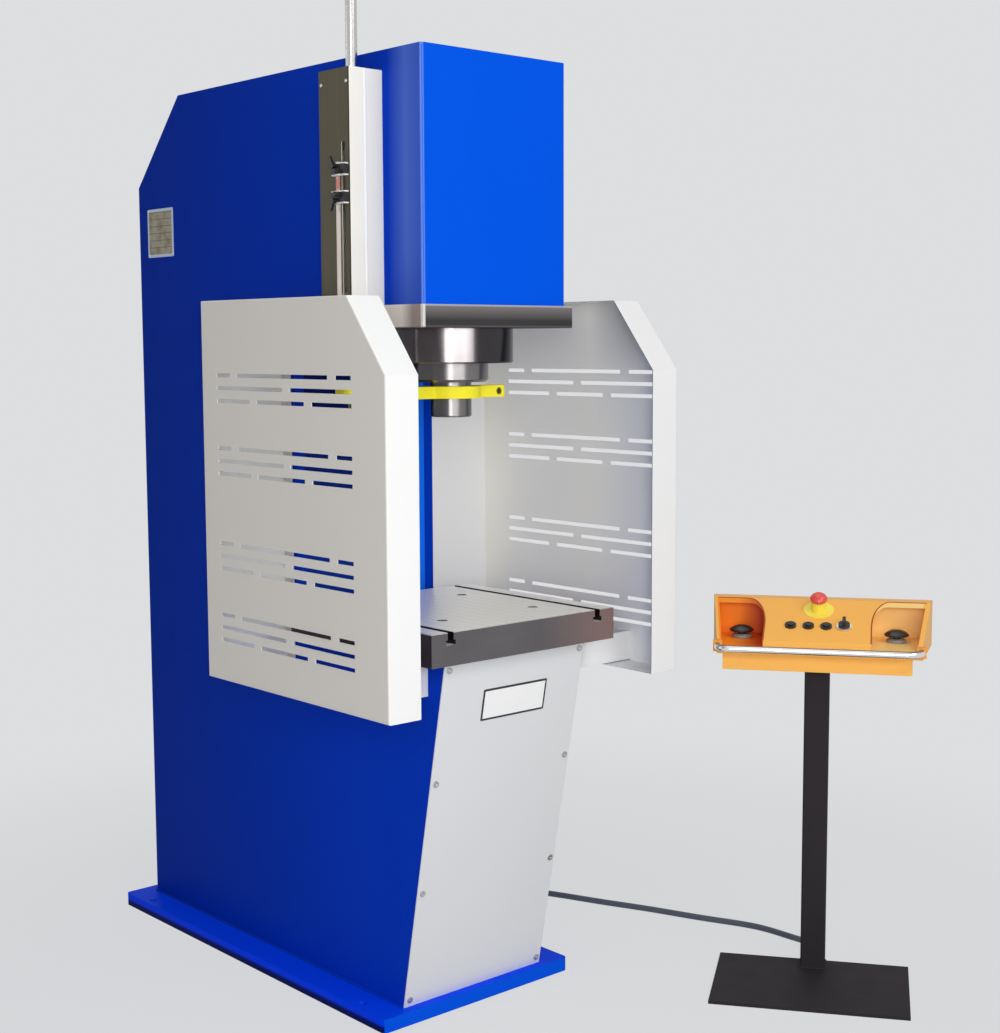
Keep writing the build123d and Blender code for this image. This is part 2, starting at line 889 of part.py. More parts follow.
# Guide bush in the nose with grooves for the rod seal and the wiper
rod_r = rod_diameter / 2
rod_hole_r = rod_r + running_clearance
wiper_r = rod_hole_r + seal_depth
seal_z = cylinder_nose_z + guide_bush_height / 2
with BuildPart() as guide_bush:
    with BuildSketch(Plane.XZ):
        with BuildLine():
            Polyline(
                (wiper_r, cylinder_nose_z),
                (bush_r, cylinder_nose_z),
                (bush_r, bush_top_z),
                (rod_hole_r, bush_top_z),
                (rod_hole_r, seal_z + seal_height),
                (wiper_r, seal_z + seal_height),
                (wiper_r, seal_z),
                (rod_hole_r, seal_z),
                (rod_hole_r, cylinder_nose_z + wiper_height),
                (wiper_r, cylinder_nose_z + wiper_height),
                close=True,
            )
        make_face()
    revolve(axis=Axis.Z)
save(guide_bush, "guide_bush")


def ring(bottom_z, height, inner_r, outer_r):
    """One plain ring round the ram axis."""
    with BuildPart() as plain_ring:
        with BuildSketch(Plane.XY.offset(bottom_z)):
            Circle(outer_r)
            Circle(inner_r, mode=Mode.SUBTRACT)
        extrude(amount=height)
    return plain_ring.part


with BuildPart() as rod_seals:
    add(ring(seal_z, seal_height, rod_hole_r, wiper_r))
    add(ring(cylinder_nose_z, wiper_height, rod_hole_r, wiper_r))
save(rod_seals, "rod_seals")


# Piston on the rod's spigot, held by a nut, with two rings in grooves
piston_top_z = barrel_top_z - piston_rest_gap / 2 - piston_rest_gap - piston_nut_height
piston_z = piston_top_z - piston_height
piston_r = bore_r - running_clearance
spigot_r = piston_spigot_diameter / 2
piston_ring_levels = [piston_z + piston_ring_height, piston_top_z - 2 * piston_ring_height]
with BuildPart() as piston:
    add(ring(piston_z, piston_height, spigot_r, piston_r))
    for level in piston_ring_levels:
        with BuildSketch(Plane.XY.offset(level)):
            Circle(piston_r)
            Circle(piston_r - piston_ring_depth, mode=Mode.SUBTRACT)
        extrude(amount=piston_ring_height, mode=Mode.SUBTRACT)
    with BuildSketch(Plane.XY.offset(piston_top_z)):
        RegularPolygon(piston_nut_diameter / 2, 6)
        Circle(spigot_r, mode=Mode.SUBTRACT)
    extrude(amount=piston_nut_height)

with BuildPart() as piston_rings:
    for level in piston_ring_levels:
        add(ring(level, piston_ring_height, piston_r - piston_ring_depth, piston_r))
save_group([piston, piston_rings], "piston")


# Ram rod: piston spigot, ground rod, neck for the arm and a nose bored for a tool shank
neck_r = rod_neck_diameter / 2
tool_r = tool_bore_diameter / 2
with BuildPart() as ram_rod:
    with BuildSketch(Plane.XZ):
        with BuildLine():
            Polyline(
                (0, rod_tip_z + tool_bore_depth),
                (tool_r, rod_tip_z + tool_bore_depth),
                (tool_r, rod_tip_z),
                (neck_r - tip_chamfer, rod_tip_z),
                (neck_r, rod_tip_z + tip_chamfer),
                (neck_r, rod_shoulder_z),
                (rod_r - rod_chamfer, rod_shoulder_z),
                (rod_r, rod_shoulder_z + rod_chamfer),
                (rod_r, piston_z),
                (spigot_r, piston_z),
                (spigot_r, piston_top_z + piston_nut_height),
                (0, piston_top_z + piston_nut_height),
                close=True,
            )
        make_face()
    revolve(axis=Axis.Z)
save(ram_rod, "ram_rod")


# Yellow arm: a hub split on its right side, closed by a clamp screw, with a long left arm
arm_z = arm_top_z - arm_thickness
arm_left_x = guide_rod_x - arm_end_from_rod
spigot_hole_r = guide_spigot_diameter / 2 + bolt_hole_clearance
with BuildPart() as ram_arm:
    with BuildSketch(Plane.XY.offset(arm_z)):
        with Locations(((arm_left_x + arm_right_x) / 2, 0)):
            RectangleRounded(arm_right_x - arm_left_x, arm_width, arm_corner_radius)
        Circle(arm_hub_diameter / 2)
        Circle(neck_r, mode=Mode.SUBTRACT)
        slit_start_x = neck_r - arm_slit_overrun
        slit_end_x = arm_right_x + arm_slit_overrun
        with Locations(((slit_start_x + slit_end_x) / 2, 0)):
            Rectangle(slit_end_x - slit_start_x, arm_slit, mode=Mode.SUBTRACT)
        with Locations((guide_rod_x, 0)):
            Circle(spigot_hole_r, mode=Mode.SUBTRACT)
    extrude(amount=arm_thickness)
    screw_seat = Plane(
        origin=(arm_right_x - arm_screw_from_end, -arm_width / 2, arm_z + arm_thickness / 2),
        x_dir=(1, 0, 0),
        z_dir=(0, -1, 0),
    )
    with BuildSketch(screw_seat):
        Circle(arm_screw_diameter / 2 + bolt_hole_clearance)
    extrude(amount=-arm_width * arm_screw_hole_share, mode=Mode.SUBTRACT)
    with BuildSketch(screw_seat):
        Circle(arm_screw_head / 2 + bolt_hole_clearance)
    extrude(amount=-arm_screw_sink, mode=Mode.SUBTRACT)
save(ram_arm, "ram_arm")


# Guide rod: stands on the arm with its shoulder, a nut and washer hold it from below, and
# a trip dog is pinned to it inside the switch channel
guide_rod_top_z = channel_top_z + ram_stroke + guide_rod_clear_of_channel
guide_r = guide_rod_diameter / 2
guide_spigot_z = arm_z - washer_height - guide_nut_height - guide_spigot_overrun
with BuildPart() as guide_rod:
    with BuildSketch(Plane.XY.offset(arm_top_z)):
        with Locations((guide_rod_x, 0)):
            Circle(guide_r)
    extrude(amount=guide_rod_top_z - arm_top_z)
    chamfer(guide_rod.faces().sort_by(Axis.Z)[-1].edges(), 2)
    with BuildSketch(Plane.XY.offset(guide_spigot_z)):
        with Locations((guide_rod_x, 0)):
            Circle(guide_spigot_diameter / 2)
    extrude(amount=arm_top_z - guide_spigot_z)
save(guide_rod, "guide_rod")

dog_r = dog_diameter / 2
dog_z = channel_top_z - dog_drop
dog_blade_tip = guide_rod_x - dog_r - dog_blade_reach
with BuildPart() as arm_fasteners:
    with BuildSketch(Plane.XY.offset(dog_z)):
        with Locations((guide_rod_x, 0)):
            Circle(dog_r)
        with Locations((guide_rod_x / 2 + dog_blade_tip / 2, 0)):
            Rectangle(guide_rod_x - dog_blade_tip, dog_blade_width)
        with Locations((guide_rod_x, 0)):
            Circle(guide_r, mode=Mode.SUBTRACT)
    extrude(amount=dog_height)
    with BuildSketch(Plane.XY.offset(arm_z - washer_height)):
        with Locations((guide_rod_x, 0)):
            Circle(guide_nut_width * washer_ratio / 2)
            Circle(spigot_hole_r, mode=Mode.SUBTRACT)
    extrude(amount=washer_height)
    with BuildSketch(Plane.XY.offset(arm_z - washer_height - guide_nut_height)):
        with Locations((guide_rod_x, 0)):
            RegularPolygon(guide_nut_width / 2, 6, major_radius=False)
            Circle(spigot_hole_r, mode=Mode.SUBTRACT)
    extrude(amount=guide_nut_height)
    screw_bottom = screw_seat.offset(-arm_screw_sink)
    with BuildSketch(screw_bottom):
        Circle(arm_screw_head / 2)
        RegularPolygon(arm_screw_diameter * hex_key_ratio, 6, mode=Mode.SUBTRACT)
    extrude(amount=arm_screw_head_height)
    with BuildSketch(screw_bottom):
        Circle(arm_screw_diameter / 2)
    extrude(amount=-arm_width * arm_screw_grip_share)
save(arm_fasteners, "arm_fasteners")


# Switch channel: an inner channel on the side plate and an outer cover with a slot
channel_outer_x = -half_width - channel_depth_x
channel_inner_reach = channel_depth_x - channel_cover_return + channel_overlap
channel_height = channel_top_z - channel_bottom_z
channel_slot_top_z = channel_top_z - channel_slot_head_room
wall_front_y = channel_front_y + channel_sheet
wall_rear_y = channel_rear_y - channel_sheet
with BuildPart() as switch_channel:
    with BuildSketch(Plane.XY.offset(channel_bottom_z)):
        with Locations((-half_width - channel_sheet / 2, (wall_front_y + wall_rear_y) / 2)):
            Rectangle(channel_sheet, wall_rear_y - wall_front_y)
        for wall_y in (wall_front_y + channel_sheet / 2, wall_rear_y - channel_sheet / 2):
            with Locations((-half_width - channel_inner_reach / 2, wall_y)):
                Rectangle(channel_inner_reach, channel_sheet)
    extrude(amount=channel_height)
save(switch_channel, "switch_channel")

with BuildPart() as switch_cover:
    with BuildSketch(Plane.XY.offset(channel_bottom_z)):
        cover_return_x = channel_outer_x + channel_cover_return / 2
        with Locations((cover_return_x, (channel_front_y + channel_rear_y) / 2)):
            Rectangle(channel_cover_return, channel_rear_y - channel_front_y)
        with Locations((cover_return_x + channel_sheet, (wall_front_y + wall_rear_y) / 2)):
            Rectangle(channel_cover_return, wall_rear_y - wall_front_y, mode=Mode.SUBTRACT)
    extrude(amount=channel_height)
    fold_edges = switch_cover.edges().filter_by(Axis.Z).group_by(Axis.X)[0]
    fillet(fold_edges, channel_fold_radius)
    with BuildSketch(Plane.YZ.offset(channel_outer_x)):
        slot_width = channel_slot_rear_y - channel_slot_front_y
        slot_length = channel_slot_top_z - channel_bottom_z + slot_width
        slot_middle_z = channel_slot_top_z - slot_length / 2
        with Locations(((channel_slot_front_y + channel_slot_rear_y) / 2, slot_middle_z)):
            SlotOverall(slot_length, slot_width, rotation=90)
    extrude(amount=2 * channel_sheet, both=True, mode=Mode.SUBTRACT)
save(switch_cover, "switch_cover")


# Guide blocks that close the channel's two ends and guide the rod
guide_hole_r = guide_r + running_clearance
block_left_x = channel_outer_x + channel_sheet
block_right_x = -half_width - channel_sheet
with BuildPart() as guide_blocks:
    for block_z in (channel_bottom_z, channel_top_z - guide_block_height):
        with BuildSketch(Plane.XY.offset(block_z)):
            block_front_y = wall_front_y + channel_sheet
            block_rear_y = wall_rear_y - channel_sheet
            with Locations(
                ((block_left_x + block_right_x) / 2, (block_front_y + block_rear_y) / 2)
            ):
                Rectangle(block_right_x - block_left_x, block_rear_y - block_front_y)
            with Locations((guide_rod_x, 0)):
                Circle(guide_hole_r, mode=Mode.SUBTRACT)
        extrude(amount=guide_block_height)
save(guide_blocks, "guide_blocks")


# Switch rail, a flat bar beside the slot
upper_switch_z = channel_slot_top_z - upper_switch_drop
lower_switch_z = upper_switch_z - switch_pitch
rail_front_y = channel_slot_rear_y + switch_rail_gap
rail_middle_y = rail_front_y + switch_rail_width / 2
rail_face_x = channel_outer_x - switch_rail_thickness
switch_rail_bottom_z = channel_bottom_z + switch_rail_bottom_gap
switch_rail_top_z = upper_switch_z + carrier_height / 2 + switch_rail_overrun
with BuildPart() as switch_rail:
    with BuildSketch(Plane.XY.offset(switch_rail_bottom_z)):
        with Locations((channel_outer_x - switch_rail_thickness / 2, rail_middle_y)):
            Rectangle(switch_rail_thickness, switch_rail_width)
    extrude(amount=switch_rail_top_z - switch_rail_bottom_z)
save(switch_rail, "switch_rail")


# Switch carriers straddle the slot and the rail; each holds a round sensor before the slot
# and is clamped to the rail by its lever, above or below the sensor
sensor_y = (channel_slot_front_y + channel_slot_rear_y) / 2
carrier_inner_x = channel_outer_x - carrier_cover_gap
carrier_outer_x = rail_face_x - carrier_thickness / 2
carrier_middle_x = (carrier_inner_x + carrier_outer_x) / 2
carrier_middle_y = (carrier_front_y + carrier_rear_y) / 2
carrier_depth = carrier_inner_x - carrier_outer_x
sensor_tip_x = dog_blade_tip - sensor_tip_gap
clamp_y = rail_front_y + clamp_from_rail_edge
clamp_screw_r = clamp_screw_diameter / 2


def carrier_face(y, level):
    """Plane on the outer face of a carrier at a point, looking away from the frame."""
    return Plane(origin=(carrier_outer_x, y, level), x_dir=(0, -1, 0), z_dir=(-1, 0, 0))


def switch_unit(level, lean):
    """Carrier with its sensor and nut; lean 1 sets the clamp above the sensor, -1 below."""
    clamp_face = carrier_face(clamp_y, level + lean * clamp_offset)
    sensor_face = carrier_face(sensor_y, level - lean * sensor_offset)
    with BuildPart() as unit:
        with BuildSketch(Plane.XY.offset(level - carrier_height / 2)):
            with Locations((carrier_middle_x, carrier_middle_y)):
                Rectangle(carrier_depth, carrier_rear_y - carrier_front_y)
            with Locations(((rail_face_x + carrier_inner_x) / 2, rail_middle_y)):
                Rectangle(
                    carrier_inner_x - rail_face_x + 2 * sliding_clearance,
                    switch_rail_width + 2 * sliding_clearance,
                    mode=Mode.SUBTRACT,
                )
        extrude(amount=carrier_height)
        with BuildSketch(clamp_face):
            Circle(clamp_screw_r + sliding_clearance)
        extrude(amount=-carrier_depth, mode=Mode.SUBTRACT)
        with BuildSketch(sensor_face.offset(carrier_outer_x - sensor_tip_x)):
            Circle(sensor_diameter / 2)
        extrude(amount=sensor_length)
        with BuildSketch(sensor_face):
            RegularPolygon(sensor_nut_width / 2, 6, major_radius=False)
        extrude(amount=sensor_nut_height)
    return unit


save(switch_unit(upper_switch_z, 1), "upper_switch")
save(switch_unit(lower_switch_z, -1), "lower_switch")


def clamp_lever(level, lean):
    """Lever whose screw presses a carrier onto the rail; lean 1 points it up, -1 down."""
    hub_plane = carrier_face(clamp_y, level + lean * clamp_offset).offset(sliding_clearance)
    turn = math.radians(clamp_arm_angle)
    middle = (
        -clamp_arm_length / 2 * math.cos(turn),
        lean * clamp_arm_length / 2 * math.sin(turn),
    )
    with BuildPart() as lever:
        with BuildSketch(hub_plane):
            Circle(clamp_hub_diameter / 2)
        extrude(amount=clamp_hub_length)
        with BuildSketch(hub_plane.offset((clamp_hub_length - clamp_arm_thickness) / 2)):
            with Locations(middle):
                turned = -lean * clamp_arm_angle
                SlotCenterToCenter(clamp_arm_length, clamp_arm_width, rotation=turned)
        extrude(amount=clamp_arm_thickness)
        with BuildSketch(hub_plane):
            Circle(clamp_screw_r)
        extrude(amount=carrier_outer_x - rail_face_x)
    return lever


save(clamp_lever(upper_switch_z, 1), "upper_clamp_lever")
save(clamp_lever(lower_switch_z, -1), "lower_clamp_lever")


# Oil tank: a welded box with its lid, standing on the base plate between the side plates
tank_half = inner_half - tank_side_gap
tank_top_z = base_thickness + tank_height
lid_top_z = tank_top_z + lid_thickness
tank_middle_y = (tank_front_y + tank_rear_y) / 2
tank_length = tank_rear_y - tank_front_y
pump_r = pump_diameter / 2
with BuildPart() as oil_tank:
    with BuildSketch(Plane.XY.offset(base_thickness)):
        with Locations((0, tank_middle_y)):
            Rectangle(2 * tank_half, tank_length)
    extrude(amount=tank_height)
    offset(amount=-tank_sheet, openings=oil_tank.faces().sort_by(Axis.Z)[-1])

with BuildPart() as tank_lid:
    with BuildSketch(Plane.XY.offset(tank_top_z)):
        with Locations((0, tank_middle_y)):
            Rectangle(2 * tank_half, tank_length)
        with Locations((0, motor_y)):
            Circle(pump_r + sliding_clearance, mode=Mode.SUBTRACT)
    extrude(amount=lid_thickness)
save_group([oil_tank, tank_lid], "oil_tank")


# Pump under the lid with its bell housing above, turned about the motor's axis
bell_r = bell_diameter / 2
motor_z = lid_top_z + bell_height
shaft_hole_r = shaft_diameter / 2 + running_clearance
shaft_z = lid_top_z - shaft_depth
motor_plane = Plane(origin=(0, motor_y, 0), x_dir=(1, 0, 0), z_dir=(0, -1, 0))
motor_axis = Axis((0, motor_y, 0), (0, 0, 1))
with BuildPart() as pump_unit:
    with BuildSketch(motor_plane):
        with BuildLine():
            Polyline(
                (0, lid_top_z - pump_height),
                (pump_r, lid_top_z - pump_height),
                (pump_r, lid_top_z),
                (bell_r, lid_top_z),
                (bell_r, motor_z),
                (bell_r - bell_wall, motor_z),
                (bell_r - bell_wall, lid_top_z + bell_wall),
                (shaft_hole_r, lid_top_z + bell_wall),
                (shaft_hole_r, shaft_z),
                (0, shaft_z),
                close=True,
            )
        make_face()
    revolve(axis=motor_axis)
save(pump_unit, "pump_unit")


# Electric motor: end bells, finned body and the shaft with its coupling
motor_r = motor_diameter / 2
shaft_top_z = motor_z + motor_base_height / 2
coupling_z = lid_top_z + bell_wall + bell_height / 8
with BuildPart() as pump_motor:
    for end_z in (motor_z, motor_z + motor_height - motor_base_height):
        with BuildSketch(Plane.XY.offset(end_z)):
            with Locations((0, motor_y)):
                Circle(motor_r)
        extrude(amount=motor_base_height)
    with BuildSketch(Plane.XY.offset(motor_z + motor_base_height)):
        with Locations((0, motor_y)):
            Circle(motor_r - motor_fin_height)
            with PolarLocations(motor_r - motor_fin_height, motor_fin_count):
                Rectangle(2 * motor_fin_height, motor_fin_thickness)
    extrude(amount=motor_height - 2 * motor_base_height)
    with BuildSketch(Plane.XY.offset(motor_z)):
        with Locations((0, motor_y)):
            Circle(shaft_hole_r)
    extrude(amount=shaft_top_z - motor_z, mode=Mode.SUBTRACT)

with BuildPart() as motor_shaft:
    with BuildSketch(Plane.XY.offset(shaft_z)):
        with Locations((0, motor_y)):
            Circle(shaft_diameter / 2)
    extrude(amount=shaft_top_z - shaft_z)
    with BuildSketch(Plane.XY.offset(coupling_z)):
        with Locations((0, motor_y)):
            Circle(coupling_diameter / 2)
    extrude(amount=coupling_height)
save_group([pump_motor, motor_shaft], "pump_motor")


# Valve block on the lid with a solenoid valve on its front
valve_top_z = lid_top_z + block_size
with BuildPart() as valve_block:
    with BuildSketch(Plane.XY.offset(lid_top_z)):
        with Locations((0, block_y)):
            Rectangle(block_size, block_size)
    extrude(amount=block_size)
    chamfer(valve_block.edges().filter_by(Axis.Z), 3)
    with BuildSketch(Plane.XZ.offset(block_size / 2 - block_y)):
        with Locations((0, lid_top_z + block_size / 2)):
            Circle(valve_diameter / 2)
    extrude(amount=valve_length)
save(valve_block, "valve_block")


# Two pipes: the front one feeds the rod side, the rear one the piston side
def pipe(rise_y, level):
    """Bent tube from the valve block up behind the throat and forward to a port boss."""
    with BuildPart() as tube:
        with BuildLine() as route:
            FilletPolyline(
                (0, rise_y, valve_top_z),
                (0, rise_y, level),
                (0, port_boss_reach, level),
                radius=pipe_bend_radius,
            )
        with BuildSketch(Plane.XY.offset(valve_top_z)):
            with Locations((0, rise_y)):
                Circle(pipe_diameter / 2)
                Circle(pipe_diameter / 2 - pipe_wall, mode=Mode.SUBTRACT)
        sweep(path=route.wires()[0])
    return tube.part


with BuildPart() as hydraulic_pipes:
    add(pipe(block_y - pipe_spacing_y / 2, rod_port_z))
    add(pipe(block_y + pipe_spacing_y / 2, cap_port_z))
save(hydraulic_pipes, "hydraulic_pipes")


# Electrical cabinet: a folded body with a rim, hung door, lock and main switch
cabinet_middle_y = (cabinet_front_y + cabinet_rear_y) / 2
cabinet_middle_z = (cabinet_bottom_z + cabinet_top_z) / 2
cabinet_width = cabinet_rear_y - cabinet_front_y
cabinet_height = cabinet_top_z - cabinet_bottom_z
main_switch_z = cabinet_top_z - main_switch_drop
cabinet_mouth_x = half_width + cabinet_depth
door_x = cabinet_mouth_x + door_gap
door_outer_x = door_x + door_thickness
hinge_x = door_x + door_thickness / 2
hinge_y = cabinet_rear_y + hinge_offset
knuckle_r = hinge_knuckle_diameter / 2
pin_r = hinge_pin_diameter / 2
hinge_levels = [cabinet_bottom_z + hinge_inset, cabinet_top_z - hinge_inset]
with BuildPart() as cabinet_body:
    with BuildSketch(Plane.YZ.offset(half_width)):
        with Locations((cabinet_middle_y, cabinet_middle_z)):
            Rectangle(cabinet_width, cabinet_height)
    extrude(amount=cabinet_depth)
    offset(amount=-cabinet_sheet, openings=cabinet_body.faces().sort_by(Axis.X)[-1])
    with BuildSketch(Plane.YZ.offset(cabinet_mouth_x)):
        with Locations((cabinet_middle_y, cabinet_middle_z)):
            Rectangle(cabinet_width, cabinet_height)
            Rectangle(
                cabinet_width - 2 * cabinet_rim,
                cabinet_height - 2 * cabinet_rim,
                mode=Mode.SUBTRACT,
            )
    extrude(amount=-cabinet_sheet)
    for level in hinge_levels:
        with BuildSketch(Plane.XY.offset(level - hinge_knuckle_length)):
            with Locations(((cabinet_mouth_x + hinge_x) / 2, hinge_y)):
                Rectangle(hinge_x - cabinet_mouth_x, hinge_knuckle_diameter)
            with Locations((hinge_x, hinge_y)):
                Circle(knuckle_r)
            leaf_depth = hinge_offset + knuckle_r
            with Locations((cabinet_mouth_x - knuckle_r, cabinet_rear_y + leaf_depth / 2)):
                Rectangle(hinge_knuckle_diameter, leaf_depth)
        extrude(amount=hinge_knuckle_length)
        with BuildSketch(Plane.XY.offset(level)):
            with Locations((hinge_x, hinge_y)):
                Circle(pin_r)
        extrude(amount=hinge_knuckle_length)
save(cabinet_body, "cabinet_body")

stem_hole_r = handle_stem_diameter / 2 + running_clearance
lock_y = cabinet_front_y + lock_inset
with BuildPart() as cabinet_door:
    with BuildSketch(Plane.YZ.offset(door_x)):
        with Locations((cabinet_middle_y, cabinet_middle_z)):
            Rectangle(cabinet_width, cabinet_height)
    extrude(amount=door_thickness)
    offset(amount=-cabinet_sheet, openings=cabinet_door.faces().sort_by(Axis.X)[0])
    with BuildSketch(Plane.YZ.offset(door_outer_x)):
        with Locations((cabinet_middle_y, main_switch_z), (lock_y, cabinet_middle_z)):
            Circle(stem_hole_r)
    extrude(amount=-cabinet_sheet, mode=Mode.SUBTRACT)
    for level in hinge_levels:
        with BuildSketch(Plane.XY.offset(level)):
            with Locations((hinge_x, hinge_y)):
                Circle(knuckle_r)
            with Locations((hinge_x, cabinet_rear_y + hinge_offset / 2)):
                Rectangle(hinge_knuckle_diameter, hinge_offset)
            with Locations((hinge_x, hinge_y)):
                Circle(pin_r + running_clearance, mode=Mode.SUBTRACT)
        extrude(amount=hinge_knuckle_length)
save(cabinet_door, "cabinet_door")


def handle_stem(y, z):
    """Stem of a door handle, running in its hole in the door sheet."""
    with BuildPart() as stem:
        with BuildSketch(Plane.YZ.offset(door_outer_x)):
            with Locations((y, z)):
                Circle(handle_stem_diameter / 2)
        extrude(amount=-handle_depth)
    return stem.part


with BuildPart() as main_switch:
    with BuildSketch(Plane.YZ.offset(door_outer_x)):
        with Locations((cabinet_middle_y, main_switch_z)):
            Circle(main_switch_diameter / 2)
    extrude(amount=main_switch_height / 3)
    with BuildSketch(Plane.YZ.offset(door_outer_x)):
        with Locations((cabinet_middle_y, main_switch_z)):
            SlotOverall(main_switch_grip_length, main_switch_grip, rotation=90)
    extrude(amount=main_switch_height)
    add(handle_stem(cabinet_middle_y, main_switch_z))
save(main_switch, "main_switch")

with BuildPart() as door_lock:
    with BuildSketch(Plane.YZ.offset(door_outer_x)):
        with Locations((lock_y, cabinet_middle_z)):
            Circle(lock_diameter / 2)
    extrude(amount=lock_height)
    with BuildSketch(Plane.YZ.offset(door_outer_x + lock_height)):
        with Locations((lock_y, cabinet_middle_z)):
            Rectangle(lock_diameter / 8, lock_diameter * 0.7)
    extrude(amount=-lock_height / 2, mode=Mode.SUBTRACT)
    add(handle_stem(lock_y, cabinet_middle_z))
save(door_lock, "door_lock")


# Switchgear: a mounting plate on four posts with rows of contactors
gear_back_x = half_width + cabinet_sheet
gear_plate_x = gear_back_x + gear_plate_gap
gear_front_x = gear_plate_x + gear_plate_thickness
with BuildPart() as control_gear:
    with BuildSketch(Plane.YZ.offset(gear_plate_x)):
        with Locations((cabinet_middle_y, cabinet_middle_z)):
            Rectangle(cabinet_width - 2 * gear_plate_margin, cabinet_height - 2 * gear_plate_margin)
    extrude(amount=gear_plate_thickness)
    with BuildSketch(Plane.YZ.offset(gear_back_x)):
        with Locations((cabinet_middle_y, cabinet_middle_z)):
            with GridLocations(
                cabinet_width - 3 * gear_plate_margin,
                cabinet_height - 3 * gear_plate_margin,
                2,
                2,
            ):
                Circle(gear_plate_gap / 2)
    extrude(amount=gear_plate_gap)
    with BuildSketch(Plane.YZ.offset(gear_front_x)):
        with Locations((cabinet_middle_y, cabinet_middle_z)):
            with GridLocations(gear_pitch, gear_row_pitch, gear_columns, gear_rows):
                Rectangle(gear_width, gear_height)
    extrude(amount=gear_depth)
save(control_gear, "control_gear")


# Control stand, in its own frame: X across to the operator's right, Y to the rear
stand_angle = math.radians(stand_turn)
stand = Plane(
    origin=(stand_x, stand_y, 0),
    x_dir=(math.cos(stand_angle), math.sin(stand_angle), 0),
    z_dir=(0, 0, 1),
)
column_half = column_size / 2
stand_base_middle = column_half - stand_base_depth / 2


def stand_point(across, back, level):
    """A point given in the stand's own frame."""
    return stand.from_local_coords(Vector(across, back, level))


def stand_side(across):
    """Upright plane that looks across the stand, its X to the rear and its Y up."""
    return Plane(origin=stand_point(across, 0, 0), x_dir=stand.y_dir, z_dir=stand.x_dir)


def stand_face(back):
    """Upright plane that faces the operator, its X across and its Y up."""
    return Plane(origin=stand_point(0, back, 0), x_dir=stand.x_dir, z_dir=-stand.y_dir)


with BuildPart() as stand_post:
    with BuildSketch(stand):
        with Locations((0, stand_base_middle)):
            Rectangle(stand_base_width, stand_base_depth)
    extrude(amount=stand_base_thickness)
    with BuildSketch(stand.offset(stand_base_thickness)):
        RectangleRounded(column_size, column_size, column_corner)
        inner_size = column_size - 2 * column_wall
        RectangleRounded(inner_size, inner_size, column_corner - column_wall, mode=Mode.SUBTRACT)
    extrude(amount=box_bottom_z - stand_base_thickness)
save(stand_post, "stand_post")

with BuildPart() as desk_box:
    with BuildSketch(stand.offset(box_bottom_z)):
        Rectangle(box_width, box_depth)
    extrude(amount=box_top_z - box_bottom_z)
    offset(amount=-desk_sheet, openings=desk_box.faces().sort_by(Axis.Z)[-1])
save(desk_box, "desk_box")


# Desk: a folded sheet housing, wider at the rear, with a sloping panel and a flat top
desk_front_r = -desk_depth / 2
desk_rear_r = desk_depth / 2
desk_slope_r = desk_rear_r - desk_top_depth
slope_run = desk_slope_r - desk_front_r
slope_rise = desk_top_z - desk_edge_z
slope_angle = math.atan2(slope_rise, slope_run)


def desk_side(inset):
    """Side outline of the desk, drawn in by a wall all round."""
    slope_drop = inset / math.cos(slope_angle)
    flat_back = inset * math.tan(slope_angle / 2)
    front_level = desk_edge_z + inset * math.tan(slope_angle) - slope_drop
    with BuildSketch(stand_side(-desk_rear_width)) as outline:
        with BuildLine():
            Polyline(
                (desk_front_r + inset, box_top_z + inset),
                (desk_front_r + inset, front_level),
                (desk_slope_r + flat_back, desk_top_z - inset),
                (desk_rear_r - inset, desk_top_z - inset),
                (desk_rear_r - inset, box_top_z + inset),
                close=True,
            )
        make_face()
    return outline.sketch


def desk_plan(inset):
    """Plan of the desk, a trapezium, drawn in by a wall at both sides."""
    front_half = desk_front_width / 2 - inset
    rear_half = desk_rear_width / 2 - inset
    with BuildSketch(stand.offset(box_top_z)) as outline:
        with BuildLine():
            Polyline(
                (desk_middle - front_half, desk_front_r),
                (desk_middle + front_half, desk_front_r),
                (desk_middle + rear_half, desk_rear_r),
                (desk_middle - rear_half, desk_rear_r),
                close=True,
            )
        make_face()
    return outline.sketch


def desk_body(inset):
    """Solid of the desk's side outline within its plan."""
    with BuildPart() as body:
        extrude(desk_side(inset), amount=2 * desk_rear_width)
        extrude(desk_plan(inset), amount=desk_top_z, mode=Mode.INTERSECT)
    return body.part


def pocket(side, growth):
    """Hooded hand pocket at one end of the desk, grown by a wall all round."""
    inner = pocket_inner_half - growth
    side_slope = (desk_rear_width - desk_front_width) / 2 / desk_depth
    floor_z = pocket_floor_z - growth
    roof_z = desk_top_z - pocket_roof + growth
    back_r = desk_rear_r - pocket_rear_wall + growth
    start_r = desk_front_r - growth - pocket_side_wall
    reach = pocket_side_wall - growth
    with BuildPart() as space:
        with BuildSketch(stand_face(back_r)):
            with Locations((side * desk_rear_width / 2, (floor_z + roof_z) / 2)):
                Rectangle(desk_rear_width - 2 * inner, roof_z - floor_z)
        extrude(amount=back_r - start_r)
        top_edges = space.edges().group_by(Axis.Z)[-1]
        along = Axis((0, 0, 0), stand.y_dir)
        corner = top_edges.filter_by(along).sort_by_distance(stand_point(0, 0, roof_z))[0]
        fillet(corner, pocket_corner_radius + growth)
        with BuildSketch(stand.offset(floor_z)):
            with BuildLine():
                front_half = desk_front_width / 2 - reach + (start_r - desk_front_r) * side_slope
                rear_half = front_half + (back_r - start_r) * side_slope
                Polyline(
                    (desk_middle, start_r),
                    (desk_middle + side * front_half, start_r),
                    (desk_middle + side * rear_half, back_r),
                    (desk_middle, back_r),
                    close=True,
                )
            make_face()
        extrude(amount=roof_z - floor_z, mode=Mode.INTERSECT)
    return space.part


